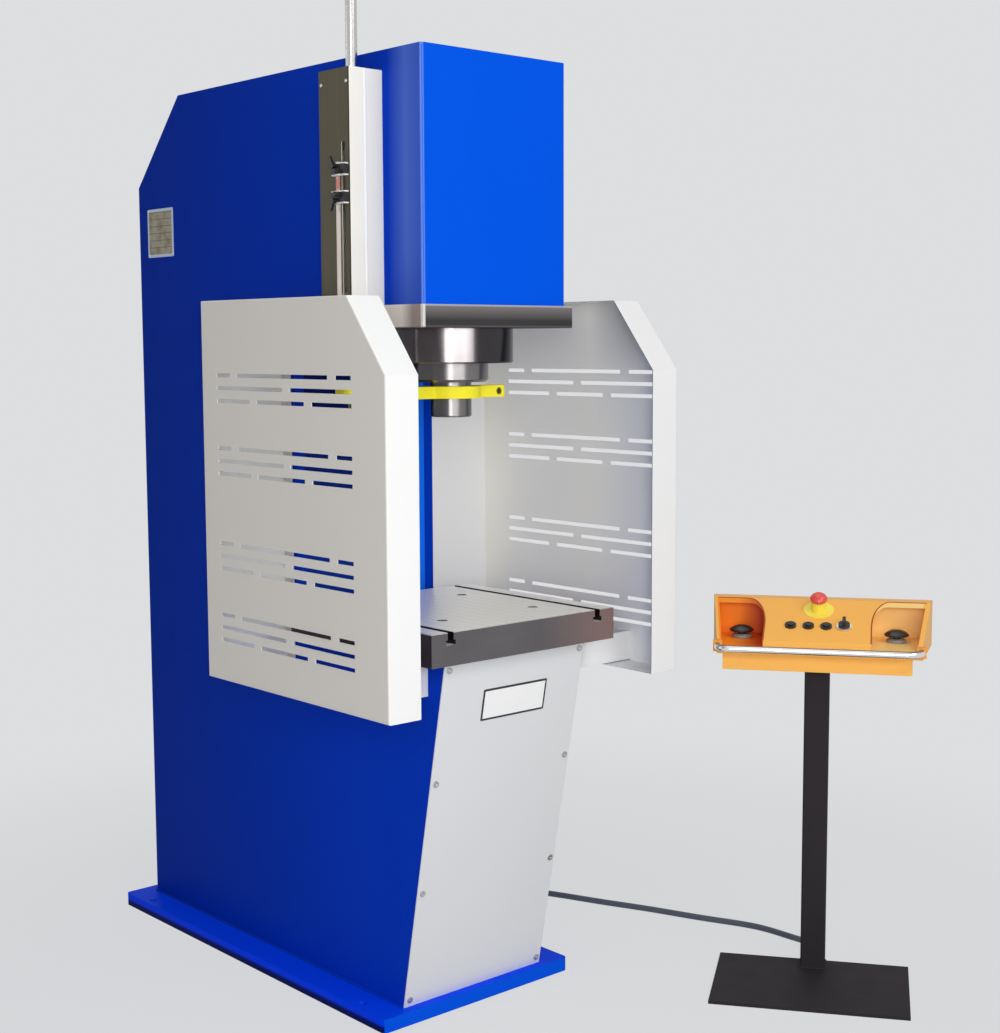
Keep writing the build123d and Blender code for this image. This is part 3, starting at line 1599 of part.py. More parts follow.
# Panel points: buttons along the slope, palm buttons on the pocket floors
slope_plane = Plane(
    origin=stand_point(0, desk_front_r, desk_edge_z),
    x_dir=stand.x_dir,
    z_dir=Vector(0, 0, 1) * math.cos(slope_angle) - stand.y_dir * math.sin(slope_angle),
)


def panel_plane(across, along):
    """Seat of an element on the sloping panel, measured up the slope from its front edge."""
    spot = slope_plane.from_local_coords(Vector(across, along, 0))
    return Plane(origin=spot, x_dir=slope_plane.x_dir, z_dir=slope_plane.z_dir)


def palm_plane(side):
    """Seat of a palm button on its pocket's floor."""
    spot = stand_point(side * palm_across, palm_from_middle, pocket_floor_z)
    return Plane(origin=spot, x_dir=stand.x_dir, z_dir=(0, 0, 1))


button_places = [button_first_across + step * button_pitch for step in range(3)]
button_seats = [panel_plane(across, button_along) for across in button_places]
selector_seat = panel_plane(button_first_across + 3 * button_pitch, button_along)
stop_seat = panel_plane(0, stop_along)
palm_seats = [palm_plane(-1), palm_plane(1)]
panel_hole_r = neck_diameter / 2 + panel_hole_clearance
stem_bore_r = stem_diameter / 2 + running_clearance
stem_floor = neck_length - desk_sheet


def disc(seat, diameter, start, height):
    """Round disc on a seat plane, from a start height."""
    with BuildPart() as round_piece:
        with BuildSketch(seat.offset(start)):
            Circle(diameter / 2)
        extrude(amount=height)
    return round_piece.part


with BuildPart() as control_desk:
    add(desk_body(0))
    with BuildPart(mode=Mode.PRIVATE) as cavity:
        add(desk_body(desk_sheet))
        add(pocket(-1, desk_sheet), mode=Mode.SUBTRACT)
        add(pocket(1, desk_sheet), mode=Mode.SUBTRACT)
    add(cavity.part, mode=Mode.SUBTRACT)
    add(pocket(-1, 0), mode=Mode.SUBTRACT)
    add(pocket(1, 0), mode=Mode.SUBTRACT)
    for seat in button_seats + [selector_seat, stop_seat] + palm_seats:
        hole = disc(seat, 2 * panel_hole_r, -1.5 * desk_sheet, 3 * desk_sheet)
        add(hole, mode=Mode.SUBTRACT)
save(control_desk, "control_desk")


# Hand rail: a bent tube before the desk, its ends held by a block at each front corner
rail_r = rail_diameter / 2
rail_end_r = desk_front_r - rail_bracket_depth
rail_front_r = desk_front_r - rail_front
rail_half = desk_front_width / 2 - rail_corner_inset
with BuildPart() as hand_rail:
    with BuildLine(stand.offset(rail_z)) as rail_route:
        FilletPolyline(
            (desk_middle - rail_half, rail_end_r),
            (desk_middle - rail_half, rail_front_r),
            (desk_middle + rail_half, rail_front_r),
            (desk_middle + rail_half, rail_end_r),
            radius=rail_bend_radius,
        )
    with BuildSketch(stand_face(rail_end_r)):
        with Locations((desk_middle - rail_half, rail_z)):
            Circle(rail_r)
            Circle(rail_r - rail_wall, mode=Mode.SUBTRACT)
    sweep(path=rail_route.wires()[0])
save(hand_rail, "hand_rail")

with BuildPart() as rail_brackets:
    with BuildSketch(stand_face(desk_front_r)):
        for across in (desk_middle - rail_half, desk_middle + rail_half):
            with Locations((across, rail_z)):
                Rectangle(rail_bracket_width, rail_bracket_height)
    extrude(amount=rail_bracket_depth)
save(rail_brackets, "rail_brackets")


# Fixed collars of the operating elements, each with a neck through its panel hole
def collar(seat, diameter, height):
    """Collar on the panel with its neck below, bored for the moving stem."""
    with BuildPart() as piece:
        with BuildSketch(seat):
            Circle(diameter / 2)
        extrude(amount=height)
        with BuildSketch(seat):
            Circle(neck_diameter / 2)
        extrude(amount=-neck_length)
        with BuildSketch(seat.offset(height)):
            Circle(stem_bore_r)
        extrude(amount=-height - stem_floor, mode=Mode.SUBTRACT)
    return piece.part


def stem(seat, travel, top):
    """Moving stem from the end of its travel up to a height above the panel."""
    start = -stem_floor + travel + stem_end_gap
    return disc(seat, stem_diameter, start, top - start)


with BuildPart() as button_bezels:
    for seat in button_seats:
        add(collar(seat, button_bezel_diameter, button_bezel_height))
    add(collar(selector_seat, selector_bezel_diameter, selector_bezel_height))
    for seat in palm_seats:
        add(collar(seat, palm_collar_diameter, palm_collar_height))
save(button_bezels, "button_bezels")

with BuildPart() as stop_collar:
    add(collar(stop_seat, stop_collar_diameter, stop_collar_height))
    add(disc(stop_seat, stop_plate_diameter, 0, stop_plate_height))
    with BuildSketch(stop_seat):
        Circle(stem_bore_r)
    extrude(amount=stop_plate_height, mode=Mode.SUBTRACT)
save(stop_collar, "stop_collar")


# Moving heads: palm caps, push buttons, selector knob and emergency stop
def mushroom(seat, collar_height, travel, diameter, height):
    """Cap with a spherical crown and a short rim, turned in one piece with its stem."""
    section = Plane(origin=seat.origin, x_dir=seat.x_dir, z_dir=-seat.y_dir)
    start = -stem_floor + travel + stem_end_gap
    under = collar_height + travel + stem_end_gap
    top = under + height
    cap_r = diameter / 2
    rim = height * crown_rim_share
    crown = height - rim
    crown_r = (cap_r**2 + crown**2) / (2 * crown)
    half_turn = math.asin(cap_r / crown_r) / 2
    middle = (crown_r * math.sin(half_turn), top - crown_r * (1 - math.cos(half_turn)))
    with BuildPart() as head:
        with BuildSketch(section):
            with BuildLine():
                Polyline(
                    (0, top),
                    (0, start),
                    (stem_diameter / 2, start),
                    (stem_diameter / 2, under),
                    (cap_r - rim / 2, under),
                    (cap_r, under + rim / 2),
                    (cap_r, under + rim),
                )
                ThreePointArc((cap_r, under + rim), middle, (0, top))
            make_face()
        revolve(axis=Axis(seat.origin, seat.z_dir))
    return head


palm_size = (palm_collar_height, palm_travel, palm_cap_diameter, palm_cap_height)
stop_size = (stop_collar_height, stop_travel, stop_head_diameter, stop_head_height)
save(mushroom(palm_seats[0], *palm_size), "left_palm_button")
save(mushroom(palm_seats[1], *palm_size), "right_palm_button")
save(mushroom(stop_seat, *stop_size), "stop_head")


def push_button(seat):
    """Flat push button that stands above its bezel by its travel."""
    with BuildPart() as button:
        add(stem(seat, button_travel, button_bezel_height + button_travel + button_crown))
        chamfer(button.faces().sort_by(Axis.Z)[-1].edges(), 1)
    return button


save(push_button(button_seats[0]), "left_push_button")
save(push_button(button_seats[1]), "middle_push_button")
save(push_button(button_seats[2]), "right_push_button")

with BuildPart() as selector_knob:
    knob_z = selector_bezel_height + stem_end_gap
    add(stem(selector_seat, 0, knob_z))
    add(disc(selector_seat, selector_knob_diameter, knob_z, selector_knob_height))
    with BuildSketch(selector_seat.offset(knob_z)):
        SlotOverall(selector_grip_length, selector_grip_width, rotation=90)
    extrude(amount=selector_knob_height + selector_grip_height)
save(selector_knob, "selector_knob")


# Cable glands: one behind the column's foot, one under the cabinet
stand_gland_seat = Plane(
    origin=stand_point(stand_gland_across, column_half, stand_gland_z),
    x_dir=stand.x_dir,
    z_dir=stand.y_dir,
)
cable_gland_x = half_width + cable_gland_from_side
cabinet_gland_seat = Plane(
    origin=(cable_gland_x, cable_gland_y, cabinet_bottom_z),
    x_dir=(0, 1, 0),
    z_dir=(0, 0, -1),
)
gland_height = gland_nut_height + gland_body_height
with BuildPart() as cable_glands:
    for seat in (stand_gland_seat, cabinet_gland_seat):
        with BuildSketch(seat):
            RegularPolygon(gland_nut_width / 2, 6, major_radius=False)
        extrude(amount=gland_nut_height)
        add(disc(seat, gland_body_diameter, gland_nut_height, gland_body_height))
save(cable_glands, "cable_glands")


# Control cable: straight runs joined by tangent arcs, from gland to gland over the floor
cable_r = cable_diameter / 2
cable_start_r = column_half + gland_height
cable_end_z = cabinet_bottom_z - gland_height
cable_points = [
    stand_point(stand_gland_across, cable_start_r, stand_gland_z),
    stand_point(stand_gland_across, cable_start_r + cable_run_in, stand_gland_z),
    Vector(916.6, -423.9, 19.4),
    Vector(934.8, -367.8, 9.6),
    Vector(935, -280, 8.8),
    Vector(917, -211, 9),
    Vector(863, -90, 8.8),
    Vector(809, 60, 9.1),
    Vector(745, 206, 8.8),
    Vector(684, 366, 9),
    Vector(610, 500, 8.8),
    Vector(530, 568, 9.2),
    Vector(478, 583, 8.8),
    Vector(421.8, 573.8, 9),
    Vector(370.6, 565, 39),
    Vector(341, 560, 91),
    Vector(343, 562, 200),
    Vector(339.5, 559, 390),
    Vector(342.5, 561.5, 600),
    Vector(cable_gland_x, cable_gland_y, cable_end_z - 3 * cable_run_in),
    Vector(cable_gland_x, cable_gland_y, cable_end_z),
]
cable_runs = [end - start for start, end in zip(cable_points, cable_points[1:])]
cable_radii = []
for before, after in zip(cable_runs, cable_runs[1:]):
    half_turn = math.radians(before.get_angle(after)) / 2
    shorter = min(before.length, after.length)
    cable_radii.append(cable_bend_share * shorter / math.tan(half_turn))
print("cable radii", [round(radius) for radius in cable_radii])
with BuildPart() as control_cable:
    with BuildLine() as cable_route:
        FilletPolyline(*cable_points, radius=cable_radii)
    with BuildSketch(Plane(origin=cable_points[0], z_dir=cable_runs[0])):
        Circle(cable_r)
    sweep(path=cable_route.wires()[0])
cable_length = sum(edge.length for edge in cable_route.edges())
print("cable length", round(cable_length), "volume", round(control_cable.part.volume))
print("section times length", round(cable_length * math.pi * cable_r**2))
save(control_cable, "control_cable")
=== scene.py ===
"""Hydraulic press with its two-hand control stand, dressed and lit for one studio view."""
import math

import bpy
import numpy as np
from mathutils import Matrix, Vector


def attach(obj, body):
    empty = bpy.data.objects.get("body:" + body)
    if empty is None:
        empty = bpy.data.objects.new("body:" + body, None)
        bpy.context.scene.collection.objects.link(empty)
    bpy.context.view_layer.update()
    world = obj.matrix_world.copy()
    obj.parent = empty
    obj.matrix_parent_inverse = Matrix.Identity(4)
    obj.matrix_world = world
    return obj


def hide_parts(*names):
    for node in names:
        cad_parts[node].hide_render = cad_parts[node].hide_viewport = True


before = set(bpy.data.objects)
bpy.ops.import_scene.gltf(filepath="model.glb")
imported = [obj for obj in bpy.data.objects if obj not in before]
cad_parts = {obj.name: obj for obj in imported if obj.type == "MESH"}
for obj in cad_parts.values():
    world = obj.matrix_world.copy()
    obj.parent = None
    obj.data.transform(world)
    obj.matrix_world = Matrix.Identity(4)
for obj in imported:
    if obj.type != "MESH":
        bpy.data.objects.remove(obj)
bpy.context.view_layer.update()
scene = bpy.context.scene


# Directions: the head and the open throat of the press face FORWARDS
LEFTWARDS = np.array([-1.0, 0.0, 0.0])
RIGHTWARDS = np.array([1.0, 0.0, 0.0])
FORWARDS = np.array([0.0, -1.0, 0.0])
BACKWARDS = np.array([0.0, 1.0, 0.0])
UPWARDS = np.array([0.0, 0.0, 1.0])
DOWNWARDS = np.array([0.0, 0.0, -1.0])

# Places on the press that finishes and new pieces follow, in metres
SIDE_X = 0.230
BASE_TOP = 0.036
HEAD_FRONT = 0.176
HEAD_LEVEL = 1.780
FRAME_BACK = 1.134
FRAME_TOP = 2.380
CHANNEL_X = -0.329
CHANNEL_TOP = 2.333
CARRIERS_MIDDLE = 2.0645
CARRIER_OFFSET = 0.0325
CARRIER_PLATE_AWAY, CARRIER_PLATE_HALF = 0.0137, 0.0019
COVER_SLANT = math.atan2(0.172, 0.900)

# The stand: its own directions, the middle of its column, and its desk's sloping panel
DESK_TURN = math.radians(-54.5)
DESK_ACROSS = np.array([math.cos(DESK_TURN), math.sin(DESK_TURN), 0.0])
DESK_BACK = np.array([-math.sin(DESK_TURN), math.cos(DESK_TURN), 0.0])
DESK_FOOT = np.array([0.820, -0.533, 0.0])
DESK_MIDDLE = float(DESK_FOOT @ DESK_ACROSS)
DESK_EDGE_LEVEL = 0.914
DESK_TOP = 0.998
PANEL_SLOPE = math.atan2(0.084, 0.184)
PANEL_UP = DESK_BACK * math.cos(PANEL_SLOPE) + UPWARDS * math.sin(PANEL_SLOPE)
PANEL_OUT = UPWARDS * math.cos(PANEL_SLOPE) - DESK_BACK * math.sin(PANEL_SLOPE)
PANEL_EDGE = DESK_FOOT + DESK_BACK * -0.115 + UPWARDS * DESK_EDGE_LEVEL
SELECTOR_PLACE = PANEL_EDGE + DESK_ACROSS * 0.068 + PANEL_UP * 0.072
SELECTOR_COLLAR = 0.0225

# The desk's two hand pockets: where a mouth's inner side, foot, roof and rounded corner are,
# and its outer side, which spreads with height
POCKET_FLOOR = 0.898
MOUTH_SIDE = 0.138
MOUTH_FOOT = 0.9145
MOUTH_ROOF = 0.9965
MOUTH_ROUND = 0.050
MOUTH_EDGE = 0.2505
MOUTH_SPREAD = 0.278
PALM_ACROSS = 0.203


def linear(red, green, blue):
    """Linear colour of three 0 to 255 values: the screen curve undone, c/12.92 near black
    and ((c + 0.055) / 1.055) to the power 2.4 above."""
    values = np.array([red, green, blue]) / 255.0
    low = values / 12.92
    high = ((values + 0.055) / 1.055) ** 2.4
    return tuple(np.where(values <= 0.04045, low, high)) + (1.0,)


# Camera, backdrop and lamps
SENSOR_WIDTH = 36.0
LENS_IN_SENSORS = 1.6366
CAMERA_PLACE = (-2.66358, -3.18057, 1.68681)
CAMERA_YAW, CAMERA_PITCH, CAMERA_ROLL = (math.radians(angle) for angle in (41.64, 6.03, -0.24))
PAPER = linear(221, 222, 224)
WHITE = (1.0, 1.0, 1.0, 1.0)
EVEN_LIGHT = 0.27
FLOOR_HALF = 14.0
SHADOW_INSIDE, SHADOW_OUTSIDE = 1.3, 3.2
SHADOW_GLOW = 0.84


def set_camera():
    """Camera at the photograph's place: long lens, a little above the table's height."""
    data = bpy.data.cameras.new("studio_camera")
    data.sensor_fit = "HORIZONTAL"
    data.sensor_width = SENSOR_WIDTH
    data.lens = SENSOR_WIDTH * LENS_IN_SENSORS
    data.clip_end = 60.0
    camera = bpy.data.objects.new("studio_camera", data)
    scene.collection.objects.link(camera)
    level = math.cos(CAMERA_PITCH)
    ahead = Vector((
        math.sin(CAMERA_YAW) * level, math.cos(CAMERA_YAW) * level, -math.sin(CAMERA_PITCH),
    ))
    right = Vector((math.cos(CAMERA_YAW), -math.sin(CAMERA_YAW), 0.0))
    up = right.cross(ahead)
    right_rolled = right * math.cos(CAMERA_ROLL) + up * math.sin(CAMERA_ROLL)
    up_rolled = up * math.cos(CAMERA_ROLL) - right * math.sin(CAMERA_ROLL)
    turn = Matrix((right_rolled, up_rolled, -ahead)).transposed()
    camera.matrix_world = Matrix.Translation(CAMERA_PLACE) @ turn.to_4x4()
    scene.camera = camera


def add_node(tree, kind, **values):
    """A new node with its settings or its inputs given by name."""
    made = tree.nodes.new(kind)
    for key, value in values.items():
        if key in made.inputs:
            made.inputs[key].default_value = value
        else:
            setattr(made, key, value)
    return made


def backdrop_ray(tree):
    """1 for rays from the camera, from gloss and through glass, 0 for the light itself."""
    path = add_node(tree, "ShaderNodeLightPath").outputs
    seen = path["Is Camera Ray"]
    for kind in ("Is Glossy Ray", "Is Transmission Ray"):
        larger = add_node(tree, "ShaderNodeMath", operation="MAXIMUM")
        tree.links.new(seen, larger.inputs[0])
        tree.links.new(path[kind], larger.inputs[1])
        seen = larger.outputs[0]
    return seen


def set_world():
    """Pale paper seen behind the machine, a soft even light for the diffuse rays."""
    world = bpy.data.worlds.new("studio_paper")
    scene.world = world
    world.use_nodes = True
    tree = world.node_tree
    tree.nodes.clear()
    seen = add_node(tree, "ShaderNodeBackground", Color=PAPER)
    lit = add_node(tree, "ShaderNodeBackground", Color=WHITE, Strength=EVEN_LIGHT)
    mix = add_node(tree, "ShaderNodeMixShader")
    out = add_node(tree, "ShaderNodeOutputWorld")
    tree.links.new(backdrop_ray(tree), mix.inputs["Fac"])
    tree.links.new(lit.outputs[0], mix.inputs[1])
    tree.links.new(seen.outputs[0], mix.inputs[2])
    tree.links.new(mix.outputs[0], out.inputs["Surface"])


def set_floor():
    """Flat paper floor with a light shadow under the machine, which fades into the backdrop:
    the paper glows by itself, with a share that rises smoothly from SHADOW_GLOW within
    SHADOW_INSIDE of the middle to 1 beyond SHADOW_OUTSIDE."""
    mesh = bpy.data.meshes.new("paper_floor")
    corners = [(x * FLOOR_HALF, y * FLOOR_HALF, 0) for x, y in ((-1, -1), (1, -1), (1, 1), (-1, 1))]
    mesh.from_pydata(corners, [], [(0, 1, 2, 3)])
    floor = bpy.data.objects.new("paper_floor", mesh)
    scene.collection.objects.link(floor)
    material = bpy.data.materials.new("paper_floor")
    material.use_nodes = True
    tree = material.node_tree
    tree.nodes.clear()
    glow = add_node(tree, "ShaderNodeEmission", Color=PAPER)
    matt = add_node(tree, "ShaderNodeBsdfDiffuse", Color=PAPER)
    place = add_node(tree, "ShaderNodeTexCoord").outputs["Object"]
    reach = add_node(tree, "ShaderNodeVectorMath", operation="LENGTH")
    tree.links.new(place, reach.inputs[0])
    ring = add_node(tree, "ShaderNodeMapRange", interpolation_type="SMOOTHSTEP")
    ring.inputs["From Min"].default_value = SHADOW_INSIDE
    ring.inputs["From Max"].default_value = SHADOW_OUTSIDE
    ring.inputs["To Min"].default_value = SHADOW_GLOW
    tree.links.new(reach.outputs["Value"], ring.inputs["Value"])
    share = add_node(tree, "ShaderNodeMath", operation="MULTIPLY")
    tree.links.new(backdrop_ray(tree), share.inputs[0])
    tree.links.new(ring.outputs["Result"], share.inputs[1])
    mix = add_node(tree, "ShaderNodeMixShader")
    out = add_node(tree, "ShaderNodeOutputMaterial")
    tree.links.new(share.outputs[0], mix.inputs["Fac"])
    tree.links.new(matt.outputs[0], mix.inputs[1])
    tree.links.new(glow.outputs[0], mix.inputs[2])
    tree.links.new(mix.outputs[0], out.inputs["Surface"])
    mesh.materials.append(material)


def soft_lamp(name, watts, place, target, size):
    """Rectangular soft box at a place, turned towards a target, size its width and height."""
    data = bpy.data.lights.new(name, "AREA")
    data.shape = "RECTANGLE"
    data.size, data.size_y = size
    data.energy = watts
    lamp = bpy.data.objects.new(name, data)
    scene.collection.objects.link(lamp)
    lamp.location = place
    aim = Vector(target) - Vector(place)
    lamp.rotation_euler = aim.to_track_quat("-Z", "Y").to_euler()


def set_lamps():
    """Broad box between camera and front, a high one, one beside the camera, a narrow strip at
    the left of the back and a wide box above."""
    soft_lamp("broad_box", 62.0, place=(-1.55, -4.30, 1.95), target=(0.0, 0.0, 1.5), size=(3.6, 1.0))
    soft_lamp("high_box", 55.0, place=(0.3, -4.2, 4.3), target=(0.1, 0.0, 1.1), size=(2.6, 1.6))
    soft_lamp("camera_box", 56.0, place=(-3.3, -3.5, 2.0), target=(0.0, 0.0, 1.3), size=(1.2, 2.6))
    soft_lamp("left_strip", 10.0, place=(-3.5, 3.6, 1.9), target=(-0.2, 0.4, 1.6), size=(0.3, 3.0))
    soft_lamp("top_box", 40.0, place=(0.2, 0.2, 5.6), target=(0.1, 0.2, 0.0), size=(3.4, 3.4))


scene.view_settings.view_transform = "Standard"
set_camera()
set_world()
set_floor()
set_lamps()


# Control cable
CABLE_RADIUS = 0.0085
CABLE_ROUTE = [
    (0.8551, -0.4883, 0.0260), (0.8888, -0.4642, 0.0260), (0.9166, -0.4239, 0.0194),
    (0.9348, -0.3678, 0.0096), (0.9350, -0.2800, 0.0088), (0.9170, -0.2110, 0.0090),
    (0.8630, -0.0900, 0.0088), (0.8090, 0.0600, 0.0091), (0.7450, 0.2060, 0.0088),
    (0.6840, 0.3660, 0.0090), (0.6100, 0.5000, 0.0088), (0.5300, 0.5680, 0.0092),
    (0.4780, 0.5830, 0.0088), (0.4218, 0.5738, 0.0090), (0.3706, 0.5650, 0.0390),
    (0.3410, 0.5600, 0.0910), (0.3430, 0.5620, 0.2000), (0.3395, 0.5590, 0.3900),
    (0.3425, 0.5615, 0.6000), (0.3410, 0.5600, 0.7835), (0.3410, 0.5600, 0.9080),
]


def lay_cable():
    """Round jacket on one smooth spline from the stand's gland over the floor to the cabinet.
    Its radius is set at the points, since the curve's box grows by the points' radius."""
    line = bpy.data.curves.new("control_cable_jacket", "CURVE")
    line.dimensions = "3D"
    spline = line.splines.new("NURBS")
    spline.points.add(len(CABLE_ROUTE) - 1)
    for point, place in zip(spline.points, CABLE_ROUTE):
        point.co = (*place, 1.0)
        point.radius = CABLE_RADIUS
    spline.order_u = 3
    spline.use_endpoint_u = True
    spline.resolution_u = 12
    line.bevel_depth = 1.0
    line.bevel_resolution = 5
    line.use_fill_caps = True
    cable = bpy.data.objects.new("control_cable_jacket", line)
    scene.collection.objects.link(cable)
    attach(cable, "frame")
    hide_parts("control_cable")
    return cable


cable_jacket = lay_cable()


# Finishes
class Finish:
    """A material with one glossy base shader and short ways to add its patterns."""

    def __init__(self, name, colour, roughness, metallic=0.0, specular=0.3, edge=0.0):
        self.material = bpy.data.materials.new(name)
        self.material.use_nodes = True
        self.tree = self.material.node_tree
        self.shader = self.tree.nodes["Principled BSDF"]
        self.colour = colour
        self.shader.inputs["Base Color"].default_value = colour
        self.shader.inputs["Roughness"].default_value = roughness
        self.shader.inputs["Metallic"].default_value = metallic
        self.shader.inputs["Specular IOR Level"].default_value = specular
        coordinates = self.tree.nodes.new("ShaderNodeTexCoord")
        self.place = coordinates.outputs["Object"]
        self.facing = coordinates.outputs["Normal"]
        self.normal = None
        if edge:
            rounded = self.node("ShaderNodeBevel", samples=4, Radius=edge)
            self.normal = rounded.outputs["Normal"]
            self.follow("Normal", self.normal)

    def node(self, kind, **values):
        """A new node in this material."""
        return add_node(self.tree, kind, **values)

    def follow(self, name, field):
        """An input of the shader that follows a field."""
        self.tree.links.new(field, self.shader.inputs[name])

    def stretched(self, scale):
        """Object place, stretched for grain that runs one way."""
        mapping = self.node("ShaderNodeMapping", Scale=scale)
        self.tree.links.new(self.place, mapping.inputs["Vector"])
        return mapping.outputs["Vector"]

    def noise(self, scale, detail=2.0, place=None, roughness=0.55):
        """Soft random field, 0 to 1."""
        made = self.node("ShaderNodeTexNoise", Scale=scale, Detail=detail, Roughness=roughness)
        self.tree.links.new(self.place if place is None else place, made.inputs["Vector"])
        return made.outputs["Fac"]

    def along(self, direction, vector=None):
        """How far a place lies along a direction: the dot product of the two."""
        made = self.node("ShaderNodeVectorMath", operation="DOT_PRODUCT")
        self.tree.links.new(self.place if vector is None else vector, made.inputs[0])
        made.inputs[1].default_value = direction
        return made.outputs["Value"]

    def between(self, field, low, high, from_low=0.0, from_high=1.0):
        """A field's range moved to low..high, and held there outside it."""
        made = self.tree.nodes.new("ShaderNodeMapRange")
        names = ("From Min", "From Max", "To Min", "To Max")
        for socket, value in zip(names, (from_low, from_high, low, high)):
            made.inputs[socket].default_value = value
        self.tree.links.new(field, made.inputs["Value"])
        return made.outputs["Result"]

    def rise(self, field, start, end):
        """0 where a field is under start, 1 where it is over end, a ramp between them."""
        return self.between(field, 0.0, 1.0, start, end)

    def fall(self, field, start, end):
        """1 where a field is under start, 0 where it is over end, a ramp between them."""
        return self.between(field, 1.0, 0.0, start, end)

    def towards(self, direction):
        """1 on surfaces turned less than 37 degrees away from a direction, 0 past 53."""
        return self.rise(self.along(direction, self.facing), 0.6, 0.8)

    def maths(self, operation, first, second=0.0):
        """One sum on two values or fields."""
        made = self.node("ShaderNodeMath", operation=operation)
        for socket, value in zip(made.inputs, (first, second)):
            if isinstance(value, float):
                socket.default_value = value
            else:
                self.tree.links.new(value, socket)
        return made.outputs[0]

    def near(self, field, middle, half, soft=0.0001):
        """1 where a field is within half of its middle, 0 outside, with a soft step."""
        away = self.maths("ABSOLUTE", self.maths("SUBTRACT", field, middle))
        return self.fall(away, half - soft, half + soft)

    def both(self, first, *others):
        """Product of two or more fields."""
        for other in others:
            first = self.maths("MULTIPLY", first, other)
        return first

    def shade(self, field, other, share=1.0):
        """Base colour mixed towards another colour where the field is high."""
        made = self.node("ShaderNodeMix", data_type="RGBA")
        current = self.shader.inputs["Base Color"]
        if current.is_linked:
            self.tree.links.new(current.links[0].from_socket, made.inputs[6])
        else:
            made.inputs[6].default_value = self.colour
        made.inputs[7].default_value = other
        self.tree.links.new(self.between(field, 0.0, share), made.inputs["Factor"])
        self.tree.links.new(made.outputs[2], current)

    def gloss(self, field, low, high):
        """Roughness between low and high, by a field."""
        self.follow("Roughness", self.between(field, low, high))

    def bump(self, field, height, strength=1.0):
        """Small relief from a field, height in metres."""
        made = self.node("ShaderNodeBump", Strength=strength, Distance=height)
        self.tree.links.new(field, made.inputs["Height"])
        if self.normal is not None:
            self.tree.links.new(self.normal, made.inputs["Normal"])
        self.normal = made.outputs["Normal"]
        self.follow("Normal", self.normal)


# Stretch of the grain on steel that makes fine level lines
LEVEL_GRAIN = (9.0, 9.0, 420.0)


def sprayed_paint(name, colour, dark, roughness=0.44, edge=0.0015):
    """Sprayed enamel on steel: slight cloudiness, orange-peel relief, softened edges."""
    paint = Finish(name, colour, roughness, specular=0.05, edge=edge)
    paint.shade(paint.noise(1.6, 3.0), dark, 0.35)
    paint.gloss(paint.noise(9.0, 3.0), roughness - 0.06, roughness + 0.08)
    paint.bump(paint.noise(420.0, 1.0), 0.00008, 0.5)
    return paint


def powder_coat(name, colour, dark, roughness=0.5, specular=0.25, edge=0.0008):
    """Powder coat on folded sheet: fine even grain, hardly any gloss."""
    coat = Finish(name, colour, roughness, specular=specular, edge=edge)
    coat.shade(coat.noise(2.2, 3.0), dark, 0.3)
    coat.gloss(coat.noise(14.0, 2.0), roughness - 0.06, roughness + 0.08)
    coat.bump(coat.noise(900.0, 2.0), 0.00006, 0.6)
    return coat


def ground_steel(name, colour, dark, roughness, scale, edge=0.001):
    """Machined steel: grain stretched along the cut, stains and changing gloss."""
    steel = Finish(name, colour, roughness, metallic=1.0, edge=edge)
    grain = steel.noise(1.0, 3.0, steel.stretched(scale), 0.7)
    steel.shade(steel.noise(7.0, 5.0), dark, 0.6)
    steel.gloss(grain, roughness - 0.08, roughness + 0.14)
    steel.bump(grain, 0.00005, 0.5)
    return steel


def turned_steel(name, colour, dark, roughness, pitch):
    """Steel turned on a lathe: rings that follow the height, light stains."""
    steel = Finish(name, colour, roughness, metallic=1.0, edge=0.0008)
    wave = steel.node(
        "ShaderNodeTexWave", bands_direction="Z", Scale=pitch, Distortion=0.4, Detail=2.0,
    )
    steel.tree.links.new(steel.place, wave.inputs["Vector"])
    steel.shade(steel.noise(10.0, 4.0), dark, 0.5)
    steel.gloss(wave.outputs["Fac"], roughness - 0.04, roughness + 0.08)
    steel.bump(wave.outputs["Fac"], 0.00003, 0.35)
    return steel


def hard_chrome(name, colour, roughness):
    """Ground and chromed rod: bright, with a faint grinding haze round it."""
    rod = Finish(name, colour, roughness, metallic=1.0, edge=0.0006)
    haze = rod.noise(1.0, 3.0, rod.stretched((60.0, 60.0, 1400.0)))
    rod.gloss(haze, roughness, roughness + 0.12)
    return rod


def hand_rail_chrome():
    """Chromed hand rail: bright in front, a brown painted reflection on its top and underside."""
    rail = hard_chrome("rail_chrome", linear(240, 238, 234), 0.10)
    level = rail.maths("ABSOLUTE", rail.along(UPWARDS, rail.facing))
    # Painted dark reflection on the rail's top and underside.
    rail.shade(rail.rise(level, 0.62, 0.82), linear(112, 98, 88), 0.9)
    return rail


def moulded_plastic(name, colour, dark, roughness, grain=1400.0):
    """Moulded plastic: fine spark-eroded grain and a slight bloom."""
    plastic = Finish(name, colour, roughness, specular=0.5, edge=0.0005)
    plastic.shade(plastic.noise(30.0, 3.0), dark, 0.4)
    plastic.gloss(plastic.noise(60.0, 2.0), roughness - 0.05, roughness + 0.08)
    plastic.bump(plastic.noise(grain, 1.0), 0.00004, 0.5)
    return plastic


def paint_corner_highlight(paint):
    """Painted highlight on the head's left front corner, which shows as a pale line 8 mm wide on
    both sides of it."""
    front = paint.rise(paint.along(FORWARDS), HEAD_FRONT - 0.0080, HEAD_FRONT - 0.0055)
    left = paint.rise(paint.along(LEFTWARDS), SIDE_X - 0.0080, SIDE_X - 0.0055)
    head = paint.rise(paint.along(UPWARDS), HEAD_LEVEL - 0.002, HEAD_LEVEL)
    paint.shade(paint.both(front, left, head), linear(112, 156, 246), 0.75)


